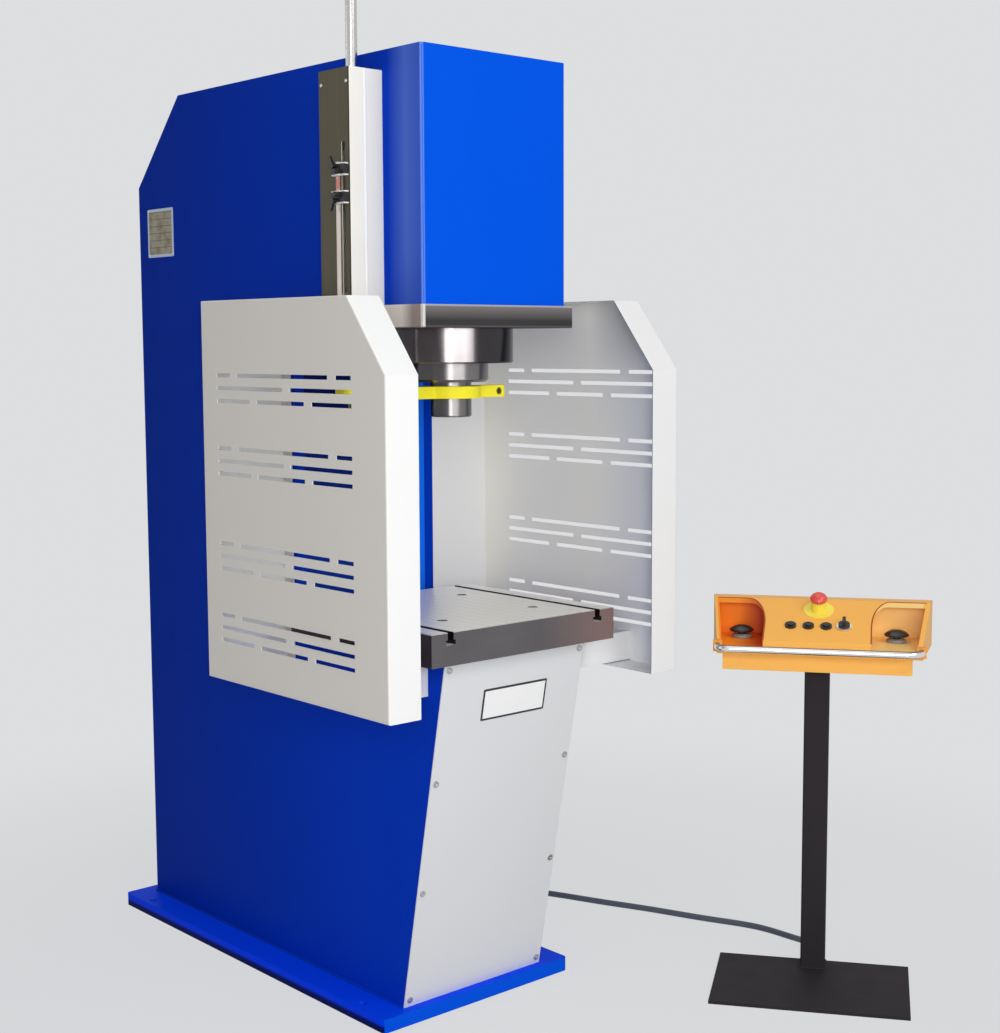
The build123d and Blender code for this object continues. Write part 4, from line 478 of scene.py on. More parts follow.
def frame_paint():
    """Blue of the base, covers and bed: the base is brighter on top and at its left edge with
    painted light, and darker along the foot of that edge with painted shade."""
    paint = sprayed_paint("frame_blue", linear(2, 88, 232), linear(2, 76, 212))
    paint.shader.inputs["Specular IOR Level"].default_value = 0.03
    height = paint.along(UPWARDS)
    base = paint.fall(height, BASE_TOP, BASE_TOP + 0.004)
    # Painted light on the base's top and on its left edge.
    paint.shade(paint.both(paint.towards(UPWARDS), base), linear(2, 72, 255), 0.9)
    aisle = paint.towards(LEFTWARDS)
    paint.shade(paint.both(aisle, base), linear(0, 62, 255), 0.9)
    # Painted shade along the foot of the base's left edge.
    paint.shade(paint.both(aisle, paint.fall(height, 0.013, 0.021)), linear(0, 8, 70), 0.95)
    paint_corner_highlight(paint)
    return paint


def throat_paint():
    """Blue inside the throat, lighter than the frame's as painted light: bright at its right, with
    painted shadow behind the left guard and painted shade deepening with height under the head."""
    paint = sprayed_paint("throat_blue", linear(18, 116, 255), linear(12, 104, 244))
    left = paint.fall(paint.along(RIGHTWARDS), -0.05, 0.16)
    # Painted shadow of the left guard, and painted shade under the head.
    paint.shade(left, linear(2, 44, 150), 0.9)
    high = paint.between(paint.along(UPWARDS), 0.3, 1.0, 1.1, 1.6)
    paint.shade(paint.both(left, high), linear(2, 16, 84), 0.9)
    return paint


def side_paint():
    """Blue of the big side plates: deeper than the folded covers and deepest at the back, as
    painted shade, with a lighter band near the front of the head on the left, a painted sheen."""
    paint = sprayed_paint("side_blue", linear(2, 58, 196), linear(2, 49, 178))
    paint.shader.inputs["Specular IOR Level"].default_value = 0.02
    back = paint.rise(paint.along(BACKWARDS), 0.1, 1.1)
    # Painted shade, deepening towards the back.
    paint.shade(back, linear(0, 42, 146), 0.8)
    ahead = paint.along(FORWARDS)
    band_middle = 0.116
    band = paint.both(
        paint.rise(ahead, 0.048, band_middle),
        paint.between(ahead, 1.0, 0.6, band_middle, HEAD_FRONT - 0.004),
    )
    head = paint.rise(paint.along(UPWARDS), 1.5, 1.9)
    left = paint.rise(paint.along(LEFTWARDS), 0.0, 0.1)
    # Painted sheen: the lighter band near the front of the head.
    paint.shade(paint.both(band, head, left), linear(100, 134, 224), 0.62)
    paint_corner_highlight(paint)
    return paint


def left_guard_coat():
    """Left guard: duller and warmer on its outer side, which faces the aisle: painted shade."""
    coat = powder_coat("left_guard_grey", linear(245, 245, 244), linear(236, 236, 234))
    # Painted shade on the outer side.
    coat.shade(coat.towards(LEFTWARDS), linear(227, 223, 216), 1.0)
    return coat


def right_guard_coat():
    """Right guard: whiter and warmer on its inner side as painted light, bluer towards the front,
    and darker with painted shadow along its front edge and behind the chamfer."""
    coat = powder_coat("right_guard_grey", linear(240, 240, 240), linear(233, 233, 232))
    inside = coat.towards(LEFTWARDS)
    # Painted light on the inner side, painted shadow towards the front lip and under the chamfer.
    coat.shade(inside, linear(255, 253, 243), 1.0)
    ahead = coat.along(FORWARDS)
    coat.shade(coat.both(inside, coat.rise(ahead, 0.02, 0.28)), linear(228, 231, 242), 1.0)
    coat.shade(coat.both(inside, coat.rise(ahead, 0.22, 0.335)), linear(132, 140, 158), 0.85)
    chamfer = coat.both(coat.rise(ahead, 0.02, 0.26), coat.rise(coat.along(UPWARDS), 1.58, 1.76))
    coat.shade(coat.both(inside, chamfer), linear(118, 120, 114), 0.95)
    return coat


def nose_metal():
    """Cylinder nose: turned bright, darkened everywhere but on its left by painted shade, which
    grows as the surface turns from the left."""
    steel = turned_steel("nose_steel", linear(136, 130, 131), linear(108, 102, 100), 0.16, 260.0)
    # Painted shade on all but the nose's left side.
    painted_dark_side = steel.rise(steel.along(RIGHTWARDS, steel.facing), -0.45, -0.24)
    steel.shade(painted_dark_side, linear(50, 48, 52), 0.85)
    return steel


def head_plate_steel():
    """Head plate: dark rolled scale on its front, paler upwards and bright on its upper edge, both
    painted light, with a faint lower edge. Its left end is a bright painted reflection, less so
    near the front, where its corner has a painted highlight. Painted shade darkens the underside."""
    steel = ground_steel("head_steel", linear(74, 75, 74), linear(60, 60, 56), 0.34, LEVEL_GRAIN)
    height = steel.along(UPWARDS)
    # Painted light: paler upwards and a bright upper edge.
    steel.shade(steel.rise(height, HEAD_LEVEL - 0.038, HEAD_LEVEL - 0.004), linear(150, 142, 142), 0.85)
    steel.shade(steel.near(height, HEAD_LEVEL - 0.053, 0.003, 0.001), linear(128, 116, 120), 0.6)
    steel.shade(steel.near(height, HEAD_LEVEL - 0.001, 0.003, 0.001), linear(206, 204, 204), 0.8)
    ahead = steel.along(FORWARDS)
    end = steel.towards(LEFTWARDS)
    # Painted reflection on the left end, and a painted highlight on its corner.
    steel.shade(end, linear(248, 238, 230), 1.0)
    steel.follow("Metallic", steel.between(end, 1.0, 0.2))
    steel.shade(steel.both(end, steel.rise(ahead, 0.110, 0.150)), linear(170, 154, 148), 1.0)
    corner = steel.both(
        steel.rise(ahead, HEAD_FRONT + 0.004, HEAD_FRONT + 0.006),
        steel.rise(steel.along(LEFTWARDS), SIDE_X + 0.0045, SIDE_X + 0.0055),
    )
    steel.shade(corner, linear(255, 250, 244), 0.9)
    # Painted shade on the underside.
    steel.shade(steel.towards(DOWNWARDS), linear(58, 50, 48), 0.7)
    return steel


def table_steel():
    """Table: milled bright on top, in overlapping cutter lanes, its near-white partly a painted
    reflection; dark scale on the sides, the left one darker with painted shade; browner
    towards the right end."""
    steel = ground_steel("table_steel", linear(124, 121, 124), linear(84, 80, 82), 0.32, LEVEL_GRAIN)
    brown = steel.rise(steel.along(RIGHTWARDS), 0.05, 0.30)
    steel.shade(brown, linear(164, 134, 128), 0.75)
    # Painted shade on the left side.
    steel.shade(steel.towards(LEFTWARDS), linear(76, 66, 72), 0.95)
    lanes = steel.node(
        "ShaderNodeTexWave", bands_direction="X", Scale=9.0, Distortion=1.2, Detail=2.0,
    )
    steel.tree.links.new(steel.place, lanes.inputs["Vector"])
    # The top's near-white: milled steel, partly a painted reflection.
    top = steel.towards(UPWARDS)
    steel.shade(top, linear(255, 252, 244), 1.0)
    steel.follow("Metallic", steel.between(top, 1.0, 0.4))
    steel.shade(steel.both(top, lanes.outputs["Fac"]), linear(238, 236, 230), 0.4)
    return steel


def channel_sheet():
    """Stainless sheet of the switch channel: pale front, the broad left face dark brown with
    streaks from top to bottom and a darker line near its front."""
    sheet = ground_steel(
        "channel_stainless", linear(250, 247, 234), linear(240, 237, 222), 0.5, (500.0, 500.0, 5.0),
    )
    sheet.shader.inputs["Metallic"].default_value = 0.1
    sheet.shader.inputs["Specular IOR Level"].default_value = 0.15
    broad = sheet.towards(LEFTWARDS)
    sheet.shade(broad, linear(104, 99, 82), 1.0)
    streaks = sheet.noise(1.0, 3.0, sheet.stretched((90.0, 90.0, 0.8)), 0.6)
    sheet.shade(sheet.both(broad, streaks), linear(74, 68, 52), 0.6)
    fold = sheet.near(sheet.along(FORWARDS), 0.030, 0.006, 0.003)
    sheet.shade(sheet.both(broad, fold), linear(64, 54, 44), 0.8)
    return sheet


def rail_metal():
    """Drawn rail: pale grain along its length, reddish brown between the carriers."""
    rail = ground_steel(
        "rail_aluminium", linear(206, 196, 188), linear(170, 160, 152), 0.34, (300.0, 300.0, 6.0),
    )
    between_carriers = rail.near(rail.along(UPWARDS), CARRIERS_MIDDLE, 0.016, 0.006)
    rail.shade(between_carriers, linear(168, 96, 84), 0.8)
    return rail


def carrier_black(name, level):
    """Black switch carrier with a pale plate on each end, above and below its level."""
    plastic = moulded_plastic(name, linear(30, 28, 28), linear(48, 42, 40), 0.42)
    away = plastic.maths("ABSOLUTE", plastic.maths("SUBTRACT", plastic.along(UPWARDS), level))
    plates = plastic.near(away, CARRIER_PLATE_AWAY, CARRIER_PLATE_HALF)
    plastic.shade(plates, linear(236, 232, 228), 1.0)
    return plastic


def desk_coat():
    """Orange of the desk, with painted shade inside its two hand pockets: deeper orange, the left one
    redder and darkest near the panel, the right one paler as painted light, both with a painted red
    reflection on their outer walls. A pocket's mouth is where sqrt(u^2 + v^2) is under the round's
    radius, u and v being how far a place lies short of the inner side and of the roof, past the
    round's middle."""
    coat = powder_coat("desk_orange", linear(255, 189, 90), linear(253, 176, 74), 0.42)
    across = coat.maths("SUBTRACT", coat.along(DESK_ACROSS), DESK_MIDDLE)
    sideways = coat.maths("ABSOLUTE", across)
    height = coat.along(UPWARDS)
    short = coat.maths("MAXIMUM", coat.maths("SUBTRACT", MOUTH_SIDE + MOUTH_ROUND, sideways))
    over = coat.maths("MAXIMUM", coat.maths("SUBTRACT", height, MOUTH_ROOF - MOUTH_ROUND))
    reach = coat.maths("SQRT", coat.maths("ADD", coat.both(short, short), coat.both(over, over)))
    mouth = coat.fall(reach, MOUTH_ROUND - 0.0005, MOUTH_ROUND + 0.0005)
    raised = coat.rise(height, POCKET_FLOOR - 0.0005, POCKET_FLOOR - 0.0001)

    slope = coat.rise(coat.along(PANEL_OUT, coat.facing), 0.9, 0.95)
    spread = coat.maths("MULTIPLY", height, MOUTH_SPREAD)
    edge = coat.maths("ADD", spread, MOUTH_EDGE - MOUTH_SPREAD * MOUTH_FOOT)
    beside = coat.both(slope, coat.maths("GREATER_THAN", sideways, edge))
    behind = coat.rise(coat.along(DESK_BACK, coat.facing), 0.3, 0.5)
    turned_out = coat.both(coat.maths("SIGN", across), coat.along(DESK_ACROSS, coat.facing))
    outer = coat.rise(turned_out, 0.4, 0.6)
    lid = coat.rise(height, DESK_TOP - 0.0008, DESK_TOP - 0.0004)
    outside = beside
    for field in (behind, outer, lid):
        outside = coat.maths("MAXIMUM", outside, field)
    inside = coat.both(mouth, raised, coat.maths("SUBTRACT", 1.0, outside))

    # Painted shade inside the pockets, painted light in the right one, a painted red reflection on
    # their outer walls.
    coat.shade(inside, linear(255, 146, 26), 1.0)
    corner = coat.near(across, -0.130, 0.055, 0.03)
    coat.shade(coat.both(inside, corner), linear(184, 42, 6), 0.9)
    right = coat.rise(across, -0.05, 0.05)
    coat.shade(coat.both(inside, right), linear(255, 218, 136), 0.95)
    wall = coat.fall(turned_out, -0.6, -0.4)
    coat.shade(coat.both(inside, wall), linear(240, 74, 16), 0.9)
    return coat


def bezel_metal():
    """Collars of the desk: the push buttons' black, the selector's chromed, the palm
    buttons' grey."""
    metal = Finish("bezel_metal", linear(34, 34, 35), 0.36, specular=0.5, edge=0.0005)
    spot = metal.node("ShaderNodeVectorMath", operation="DISTANCE")
    metal.tree.links.new(metal.place, spot.inputs[0])
    spot.inputs[1].default_value = SELECTOR_PLACE
    selector = metal.fall(spot.outputs["Value"], SELECTOR_COLLAR, SELECTOR_COLLAR + 0.0002)
    metal.shade(selector, linear(226, 226, 226), 1.0)
    metal.follow("Metallic", selector)
    panel = metal.near(metal.along(DESK_ACROSS), DESK_MIDDLE, 0.15)
    metal.shade(metal.maths("SUBTRACT", 1.0, panel), linear(150, 150, 150), 0.8)
    metal.bump(metal.noise(1200.0, 1.0), 0.00003, 0.4)
    return metal


def jacket_rubber():
    """Extruded cable jacket: grey-blue, slightly dusty, faint ribs along its length."""
    jacket = Finish("jacket_rubber", linear(80, 86, 98), 0.5)
    jacket.shade(jacket.noise(26.0, 4.0), linear(106, 112, 124), 0.5)
    jacket.bump(jacket.noise(700.0, 2.0), 0.00008, 0.6)
    return jacket


def plate_places(plate, across, up, middle):
    """Fields on a plate: how far a place lies from its middle, across and up."""
    offset = plate.node("ShaderNodeVectorMath", operation="SUBTRACT")
    plate.tree.links.new(plate.place, offset.inputs[0])
    offset.inputs[1].default_value = middle
    return plate.along(across, offset.outputs["Vector"]), plate.along(up, offset.outputs["Vector"])


def bordered_plate(name, across, up, middle, half_across, half_up):
    """Bare white plate with a printed black border, 5.4 mm wide."""
    plate = Finish(name, linear(250, 250, 250), 0.34, specular=0.3)
    plate.shade(plate.noise(60.0, 3.0), linear(240, 240, 240), 0.4)
    borders = [
        plate.rise(plate.maths("ABSOLUTE", way), half - 0.0056, half - 0.0052)
        for way, half in zip(plate_places(plate, across, up, middle), (half_across, half_up))
    ]
    plate.shade(plate.maths("MAXIMUM", *borders), linear(44, 45, 48), 1.0)
    return plate


def field_plate(name, across, up, middle, half_across, half_up, rows):
    """Bare plate with a pale border and empty ruled fields, stained unevenly."""
    plate = Finish(name, linear(196, 208, 222), 0.34, specular=0.3)
    sideways, height = plate_places(plate, across, up, middle)
    inside = plate.both(
        plate.fall(plate.maths("ABSOLUTE", sideways), half_across, half_across + 0.0006),
        plate.fall(plate.maths("ABSOLUTE", height), half_up, half_up + 0.0006),
    )
    plate.shade(inside, linear(160, 154, 132), 1.0)
    blots = plate.rise(plate.noise(34.0, 4.0), 0.45, 0.62)
    plate.shade(plate.both(inside, blots), linear(128, 112, 94), 0.9)
    pitch = 2 * half_up / rows
    part = plate.maths("FRACT", plate.maths("DIVIDE", plate.maths("ADD", height, half_up), pitch))
    rule = plate.maths("GREATER_THAN", part, 0.9)
    plate.shade(plate.both(inside, rule), linear(84, 84, 72), 0.9)
    return plate


def painted(name, colour, dark, roughness=0.5, specular=0.25):
    """Material of a plain powder coat, from colours of 0 to 255."""
    return powder_coat(name, linear(*colour), linear(*dark), roughness, specular).material


def moulded(name, colour, dark, roughness, grain=1400.0):
    """Material of a plain moulded plastic, from colours of 0 to 255."""
    return moulded_plastic(name, linear(*colour), linear(*dark), roughness, grain).material


def steel_grain(name, colour, dark, roughness, grain):
    """Material of a plain machined steel, from colours of 0 to 255."""
    return ground_steel(name, linear(*colour), linear(*dark), roughness, grain).material


def steel_rings(name, colour, dark, roughness, pitch):
    """Material of a plain turned metal, from colours of 0 to 255."""
    return turned_steel(name, linear(*colour), linear(*dark), roughness, pitch).material


frame_blue = frame_paint().material
side_blue = side_paint().material
channel_stainless = channel_sheet().material
nose_steel = nose_metal().material
desk_orange = desk_coat().material
bezels = bezel_metal().material
guard_grey = painted("guard_grey", (245, 245, 244), (238, 238, 236))
cabinet_grey = painted("cabinet_grey", (208, 208, 204), (196, 196, 192))
cast_grey = painted("cast_grey", (74, 78, 84), (52, 55, 60), 0.6)
# Dark brown of the pocket rims: painted shade along the mouths' edges.
rim_shade_brown = painted("rim_shade_brown", (178, 92, 30), (150, 70, 20), 0.42)
stand_black = painted("stand_black", (50, 46, 50), (36, 34, 38), 0.6, 0.08)
plain_steel = steel_grain("plain_steel", (150, 150, 150), (96, 94, 92), 0.36, (40.0, 40.0, 500.0))
bolt_zinc = steel_grain("bolt_zinc", (206, 208, 208), (160, 160, 158), 0.3, (120.0, 120.0, 120.0))
black_plastic = moulded("black_plastic", (26, 26, 27), (40, 40, 41), 0.3)
seal_black = moulded("seal_black", (22, 22, 22), (34, 34, 34), 0.6, 500.0)
cable_jacket.data.materials.append(jacket_rubber().material)

NODES_BY_FINISH = {
    frame_blue: ("base_plate", "bed_plate", "head_cover", "frame_covers"),
    side_blue: ("left_side_plate", "right_side_plate"),
    throat_paint().material: ("throat_plate",),
    head_plate_steel().material: ("head_plate",),
    painted("cover_grey", (226, 227, 229), (220, 221, 223)): ("lower_front_cover",),
    table_steel().material: ("work_table",),
    left_guard_coat().material: ("left_guard",),
    right_guard_coat().material: ("right_guard",),
    guard_grey: ("guard_brackets",),
    bolt_zinc: ("frame_bolts", "door_lock"),
    nose_steel: ("cylinder_barrel", "cylinder_cap"),
    plain_steel: ("lock_ring", "valve_block", "hydraulic_pipes", "piston"),
    steel_rings("bush_bronze", (186, 142, 78), (140, 98, 50), 0.3, 300.0): ("guide_bush",),
    steel_rings("rod_steel", (142, 140, 140), (96, 90, 88), 0.24, 320.0): ("ram_rod",),
    sprayed_paint(
        "arm_yellow", linear(255, 243, 60), linear(250, 232, 46), 0.4, 0.001,
    ).material: ("ram_arm",),
    steel_grain(
        "arm_screw", (150, 142, 92), (104, 98, 62), 0.42, (90.0, 90.0, 90.0),
    ): ("arm_fasteners",),
    hard_chrome("rod_chrome", linear(206, 204, 200), 0.14).material: ("guide_rod",),
    channel_stainless: ("switch_channel", "switch_cover"),
    rail_metal().material: ("switch_rail",),
    carrier_black("upper_carrier", CARRIERS_MIDDLE + CARRIER_OFFSET).material: ("upper_switch",),
    carrier_black("lower_carrier", CARRIERS_MIDDLE - CARRIER_OFFSET).material: ("lower_switch",),
    seal_black: ("rod_seals",),
    cabinet_grey: ("oil_tank", "cabinet_body", "cabinet_door"),
    cast_grey: ("pump_unit", "pump_motor"),
    moulded("gear_plastic", (170, 174, 172), (150, 154, 152), 0.5): ("control_gear",),
    stand_black: ("stand_post",),
    desk_orange: ("desk_box", "control_desk"),
    hand_rail_chrome().material: ("hand_rail",),
    painted("bracket_orange", (240, 160, 66), (220, 140, 50), 0.42): ("rail_brackets",),
    bezels: ("button_bezels",),
    moulded("stop_yellow", (255, 236, 92), (250, 222, 70), 0.3): ("stop_collar",),
    moulded("stop_red", (234, 84, 76), (212, 58, 50), 0.2): ("stop_head",),
    black_plastic: (
        "guide_blocks", "cable_glands", "upper_clamp_lever", "lower_clamp_lever",
        "left_palm_button", "right_palm_button", "left_push_button", "middle_push_button",
        "right_push_button", "selector_knob", "main_switch",
    ),
}
for finish, node_names in NODES_BY_FINISH.items():
    for node_name in node_names:
        node_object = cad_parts[node_name]
        if not node_object.material_slots:
            node_object.data.materials.append(finish)
        for material_slot in node_object.material_slots:
            material_slot.material = finish


# New pieces: skins over rings of points
def put_skins(name, skins, finish, body, crease=35.0):
    """One piece of closed skins. Each skin is an array (rings, points, 3): quads join ring to
    ring and a flat face closes each end. A skin whose quads look towards their ring's middle
    is turned round."""
    points, faces, start = [], [], 0
    for rings in skins:
        rows, columns, _ = rings.shape
        row, column = np.meshgrid(np.arange(rows - 1), np.arange(columns), indexing="ij")
        after = (column + 1) % columns
        near, far = row * columns, (row + 1) * columns
        quads = np.stack([near + column, near + after, far + after, far + column], -1)
        quads = quads.reshape(-1, 4)
        corners = rings.reshape(-1, 3)[quads]
        outward = np.cross(corners[:, 2] - corners[:, 0], corners[:, 3] - corners[:, 1])
        middles = rings.mean(1)[row.reshape(-1)] / 2 + rings.mean(1)[row.reshape(-1) + 1] / 2
        looks = np.einsum("ij,ij->i", outward, corners.mean(1) - middles).sum()
        first, last = np.arange(columns)[::-1], (rows - 1) * columns + np.arange(columns)
        if looks < 0:
            quads, first, last = quads[:, ::-1], first[::-1], last[::-1]
        points.append(rings.reshape(-1, 3))
        faces += (quads + start).tolist() + [(first + start).tolist(), (last + start).tolist()]
        start += rows * columns
    mesh = bpy.data.meshes.new(name)
    mesh.from_pydata(np.concatenate(points).tolist(), [], faces)
    mesh.polygons.foreach_set("use_smooth", np.ones(len(mesh.polygons), bool))
    mesh.set_sharp_from_angle(angle=math.radians(crease))
    mesh.materials.append(finish)
    piece = bpy.data.objects.new(name, mesh)
    scene.collection.objects.link(piece)
    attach(piece, body)


# A direction that no axis here runs along, from which a turned piece's rings start
SKEW = (0.31, 0.59, 0.74)


def turned(profile, middle, axis, count=32, ribs=0, rib_depth=0.0):
    """Rings of a turned piece: every (radius, height) of the profile goes round the axis, at
    middle + height axis + radius (1 + depth cos(ribs t)) (cos t side + sin t other)."""
    side = np.cross(axis, SKEW)
    side /= np.linalg.norm(side)
    other = np.cross(axis, side)
    angle = np.linspace(0.0, 2.0 * np.pi, count, endpoint=False)
    ring = np.cos(angle)[:, None] * side + np.sin(angle)[:, None] * other
    ring = ring * (1.0 + rib_depth * np.cos(ribs * angle))[:, None]
    radius, height = np.array(profile).T
    return np.array(middle) + height[:, None, None] * axis + radius[:, None, None] * ring


def carried(path, section, normal):
    """Rings of a section carried along a path in a plane: at each point of the path the
    section's first number goes across it in the plane, its second along the plane's normal."""
    path = np.array(path)
    steps = np.diff(path, axis=0)
    steps /= np.linalg.norm(steps, axis=1)[:, None]
    before = np.concatenate([steps[:1], steps])
    after = np.concatenate([steps, steps[-1:]])
    tangent = before + after
    tangent /= np.linalg.norm(tangent, axis=1)[:, None]
    across = np.cross(normal, tangent)
    widen = 1.0 / np.einsum("ij,ij->i", tangent, after)
    reach = section[None, :, 0, None] * (across * widen[:, None])[:, None, :]
    return path[:, None, :] + reach + section[None, :, 1, None] * normal


def bead(start, end, first, second, size):
    """Rings of a fillet weld between two walls: a quarter round 0.85 (cos t first + sin t
    second) from one wall's direction to the other's, with its root 0.3 inside both, all
    times size (0.92 + 0.16 |sin(pi run / 6 mm)|), so that it ripples every 6 mm."""
    start, end = np.array(start), np.array(end)
    length = np.linalg.norm(end - start)
    run = np.linspace(0.0, length, int(length / 0.0015) + 2)
    big = size * (0.92 + 0.16 * np.abs(np.sin(np.pi * run / 0.006)))
    angle = np.linspace(0.0, np.pi / 2, 7)
    curve = np.cos(angle)[:, None] * first + np.sin(angle)[:, None] * second
    root = -0.3 * (first + second)
    section = np.concatenate([curve * 0.85, root[None]])
    line = start + (end - start) * (run / length)[:, None]
    return line[:, None, :] + big[:, None, None] * section[None]


def plate(middle, across, up, half_across, half_up, corner, thickness):
    """Rings of a thin plate with rounded corners: x = sign(cos t) (half - corner) + (corner -
    inset) cos t across it and the same with sin t up it, the inset making a chamfer on top."""
    out = np.cross(across, up)
    turn = np.linspace(0.0, 2.0 * np.pi, 48, endpoint=False) + np.pi / 48
    cosine, sine = np.cos(turn), np.sin(turn)
    rings = []
    for inset, height in ((0.0, 0.0), (0.0, 0.7), (0.3, 1.0)):
        x = np.sign(cosine) * (half_across - corner) + (corner - inset * thickness) * cosine
        y = np.sign(sine) * (half_up - corner) + (corner - inset * thickness) * sine
        rings.append(middle + x[:, None] * across + y[:, None] * up + height * thickness * out)
    return np.array(rings)


def pan_head(middle, axis, radius):
    """Rings of a small domed screw head: nearly a quarter round, radius cos a wide at the
    height radius (0.25 + 0.4 sin a), over a short rim."""
    angle = np.linspace(0.0, 0.46 * np.pi, 6)
    profile = [(radius, 0.0)] + [
        (radius * math.cos(a), radius * (0.25 + 0.4 * math.sin(a))) for a in angle
    ]
    return turned(profile, middle, axis, count=16)


def desk_point(across, back, level):
    """A point given in the stand's own directions, from the middle of its column."""
    return DESK_FOOT + DESK_ACROSS * across + DESK_BACK * back + UPWARDS * level


def panel_point(across, level):
    """A point on the desk's slope: from the slope's lower edge up it by the height above that
    edge over sin(slope)."""
    climb = (level - DESK_EDGE_LEVEL) / math.sin(PANEL_SLOPE)
    return PANEL_EDGE + DESK_ACROSS * across + PANEL_UP * climb


def oval(count, half_across, half_out):
    """Section of a round bead: half_across cos t across and half_out sin t out."""
    angle = np.linspace(0.0, 2.0 * np.pi, count, endpoint=False)
    return np.stack([half_across * np.cos(angle), half_out * np.sin(angle)], 1)


# Welds at the feet of the side plates and at both ends of the stand's column
FOOT_WELD_FRONT, FOOT_WELD_BACK = -0.070, 1.132
foot_welds = []
for x, outward in ((-SIDE_X, LEFTWARDS), (SIDE_X, RIGHTWARDS)):
    front, back = (x, FOOT_WELD_FRONT, BASE_TOP), (x, FOOT_WELD_BACK, BASE_TOP)
    foot_welds.append(bead(front, back, outward, UPWARDS, size=0.007))
put_skins("frame_foot_welds", foot_welds, side_blue, "frame")
COLUMN_HALF = 0.0325
COLUMN_FOOT, COLUMN_TOP = 0.008, 0.832
COLUMN_CORNERS = [(-1, -1), (1, -1), (1, 1), (-1, 1)]
column_welds = []
for level, rise in ((COLUMN_FOOT, 1), (COLUMN_TOP, -1)):
    for (a0, r0), (a1, r1) in zip(COLUMN_CORNERS, COLUMN_CORNERS[1:] + COLUMN_CORNERS[:1]):
        outward = DESK_ACROSS * (a0 + a1) / 2 + DESK_BACK * (r0 + r1) / 2
        first = desk_point(a0 * COLUMN_HALF, r0 * COLUMN_HALF, level)
        second = desk_point(a1 * COLUMN_HALF, r1 * COLUMN_HALF, level)
        column_welds.append(bead(first, second, outward, UPWARDS * rise, size=0.004))
put_skins("column_welds", column_welds, stand_black, "frame")


# Plates: bare, with printed rules, on the left side plate and on the slanted front cover
DATA_PLATE_PLACE = np.array([-SIDE_X, 1.0155, 2.0065])
DATA_PLATE_THICKNESS = 0.0012
data_print = field_plate(
    "data_plate_print", FORWARDS, UPWARDS, DATA_PLATE_PLACE,
    half_across=0.062, half_up=0.060, rows=6,
).material
data_plate = plate(
    DATA_PLATE_PLACE, FORWARDS, UPWARDS,
    half_across=0.0705, half_up=0.0685, corner=0.004, thickness=DATA_PLATE_THICKNESS,
)
put_skins("data_plate", [data_plate], data_print, "frame")
COVER_UP = np.array([0.0, -math.sin(COVER_SLANT), math.cos(COVER_SLANT)])
COVER_OUT = np.array([0.0, -math.cos(COVER_SLANT), -math.sin(COVER_SLANT)])
COVER_THICKNESS = 0.003
COVER_FOOT = np.array([0.0, -0.072, BASE_TOP]) + COVER_OUT * COVER_THICKNESS
LOAD_PLATE_LEVEL = 0.8105
LOAD_PLATE_ASIDE = 0.010
LOAD_PLATE_HALVES = (0.105, 0.041)
load_plate_place = COVER_FOOT + COVER_UP * (LOAD_PLATE_LEVEL - BASE_TOP) / math.cos(COVER_SLANT)
load_plate_place = load_plate_place + RIGHTWARDS * LOAD_PLATE_ASIDE
load_print = bordered_plate(
    "load_plate_print", RIGHTWARDS, COVER_UP, load_plate_place, *LOAD_PLATE_HALVES,
).material
load_plate = plate(
    load_plate_place, RIGHTWARDS, COVER_UP, *LOAD_PLATE_HALVES, corner=0.003, thickness=0.001,
)
put_skins("load_plate", [load_plate], load_print, "frame")


# Small screws: plate rivets, channel corners, cover screws on the back and the top
rivets = [
    pan_head(DATA_PLATE_PLACE + (-DATA_PLATE_THICKNESS, y, z), LEFTWARDS, radius=0.0028)
    for y in (-0.064, 0.064) for z in (-0.062, 0.062)
]
rivets += [
    pan_head((CHANNEL_X, y, z), LEFTWARDS, radius=0.0045)
    for y in (-0.019, 0.080) for z in (HEAD_LEVEL + 0.010, CHANNEL_TOP - 0.033)
]
put_skins("plate_rivets", rivets, bolt_zinc, "frame")
COVER_SCREW_X = 0.186
COVER_SCREW_RADIUS = 0.007
cover_screws = [
    pan_head((x, FRAME_BACK, z), BACKWARDS, COVER_SCREW_RADIUS)
    for x in (-COVER_SCREW_X, COVER_SCREW_X)
    for z in (0.06, 0.40, 0.74, 1.07, 1.13, 1.46, 1.80, 2.11)
]
cover_screws += [
    pan_head((x, y, FRAME_TOP), UPWARDS, COVER_SCREW_RADIUS)
    for x in (-COVER_SCREW_X, COVER_SCREW_X) for y in (-0.14, 0.20, 0.54, 0.87)
]
put_skins("cover_screws", cover_screws, bolt_zinc, "frame")


# Rolled edge of the channel's cover, over the inner channel. Its white is partly the pale
# front's own, partly a painted highlight along the edge.
EDGE_X, EDGE_Y = CHANNEL_X + 0.0465, -0.0300
edge_line = [(EDGE_X, EDGE_Y, HEAD_LEVEL + 0.001), (EDGE_X, EDGE_Y, CHANNEL_TOP - 0.001)]
rolled_edge = carried(edge_line, oval(16, 0.0035, 0.0016), FORWARDS)
put_skins("cover_rolled_edge", [rolled_edge], guard_grey, "frame")
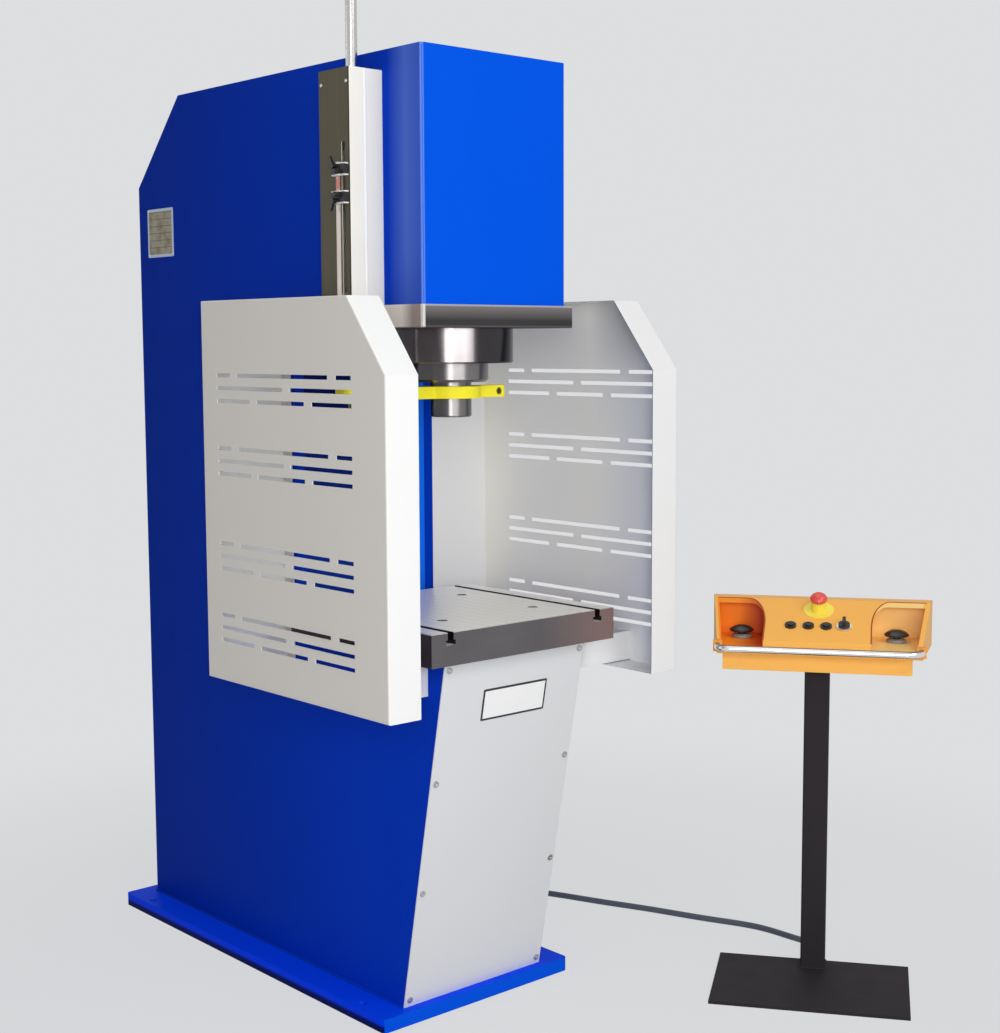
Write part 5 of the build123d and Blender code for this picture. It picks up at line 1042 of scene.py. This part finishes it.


# Hood rims of the two hand pockets, a bead pressed into the slope round each mouth, dark brown
# as painted shade along the mouth's edge. They end by the desk's side walls, this far from its
# middle: the left one is -1, the right one 1.
RIM_ENDS = {-1: 0.270, 1: 0.280}


def pocket_rim(side):
    """Rim round one pocket's hood on the slope: up its inner side, a quarter round, level
    under the desk's top edge to the side wall."""
    turn = np.linspace(0.0, np.pi / 2, 14)
    places = [(MOUTH_SIDE, MOUTH_FOOT)]
    places += list(zip(
        MOUTH_SIDE + MOUTH_ROUND * (1 - np.cos(turn)), MOUTH_ROOF - MOUTH_ROUND * (1 - np.sin(turn)),
    ))
    places += [(RIM_ENDS[side], MOUTH_ROOF)]
    path = [panel_point(side * across, level) for across, level in places]
    return carried(path, oval(12, 0.0020, 0.0012), PANEL_OUT)


pocket_rims = [pocket_rim(-1), pocket_rim(1)]
put_skins("pocket_rims", pocket_rims, rim_shade_brown, "frame", crease=60.0)


# Ribbed skirts under the palm buttons
SKIRT = [(0.0212, 0.0), (0.0255, 0.0), (0.0262, 0.003), (0.0250, 0.0075), (0.0212, 0.0080)]
PALM_BACK = 0.018
for name, across in (("left_palm_skirt", -PALM_ACROSS), ("right_palm_skirt", PALM_ACROSS)):
    foot = desk_point(across, PALM_BACK, POCKET_FLOOR)
    skirt = turned(SKIRT, foot, UPWARDS, count=144, ribs=24, rib_depth=0.022)
    put_skins(name, [skirt], bezels, "frame")


# Tapered strain reliefs on the two cable glands
def relief(middle, axis):
    """Rings of a rubber sleeve that tapers along the cable, with six grooves: radius falls
    from 11.5 to 9.2 mm over 34 mm, less 0.8 mm in each groove."""
    height = np.linspace(0.0, 0.034, 52)
    groove = np.clip(np.sin(2 * np.pi * height / 0.0056), 0.0, 1.0)
    radius = 0.0115 - 0.0023 * height / 0.034 - 0.0008 * groove
    return turned(np.stack([radius, height], 1), middle, axis)


reliefs = [relief(CABLE_ROUTE[0], DESK_BACK), relief(CABLE_ROUTE[-1], DOWNWARDS)]
put_skins("cable_strain_reliefs", reliefs, seal_black, "frame")
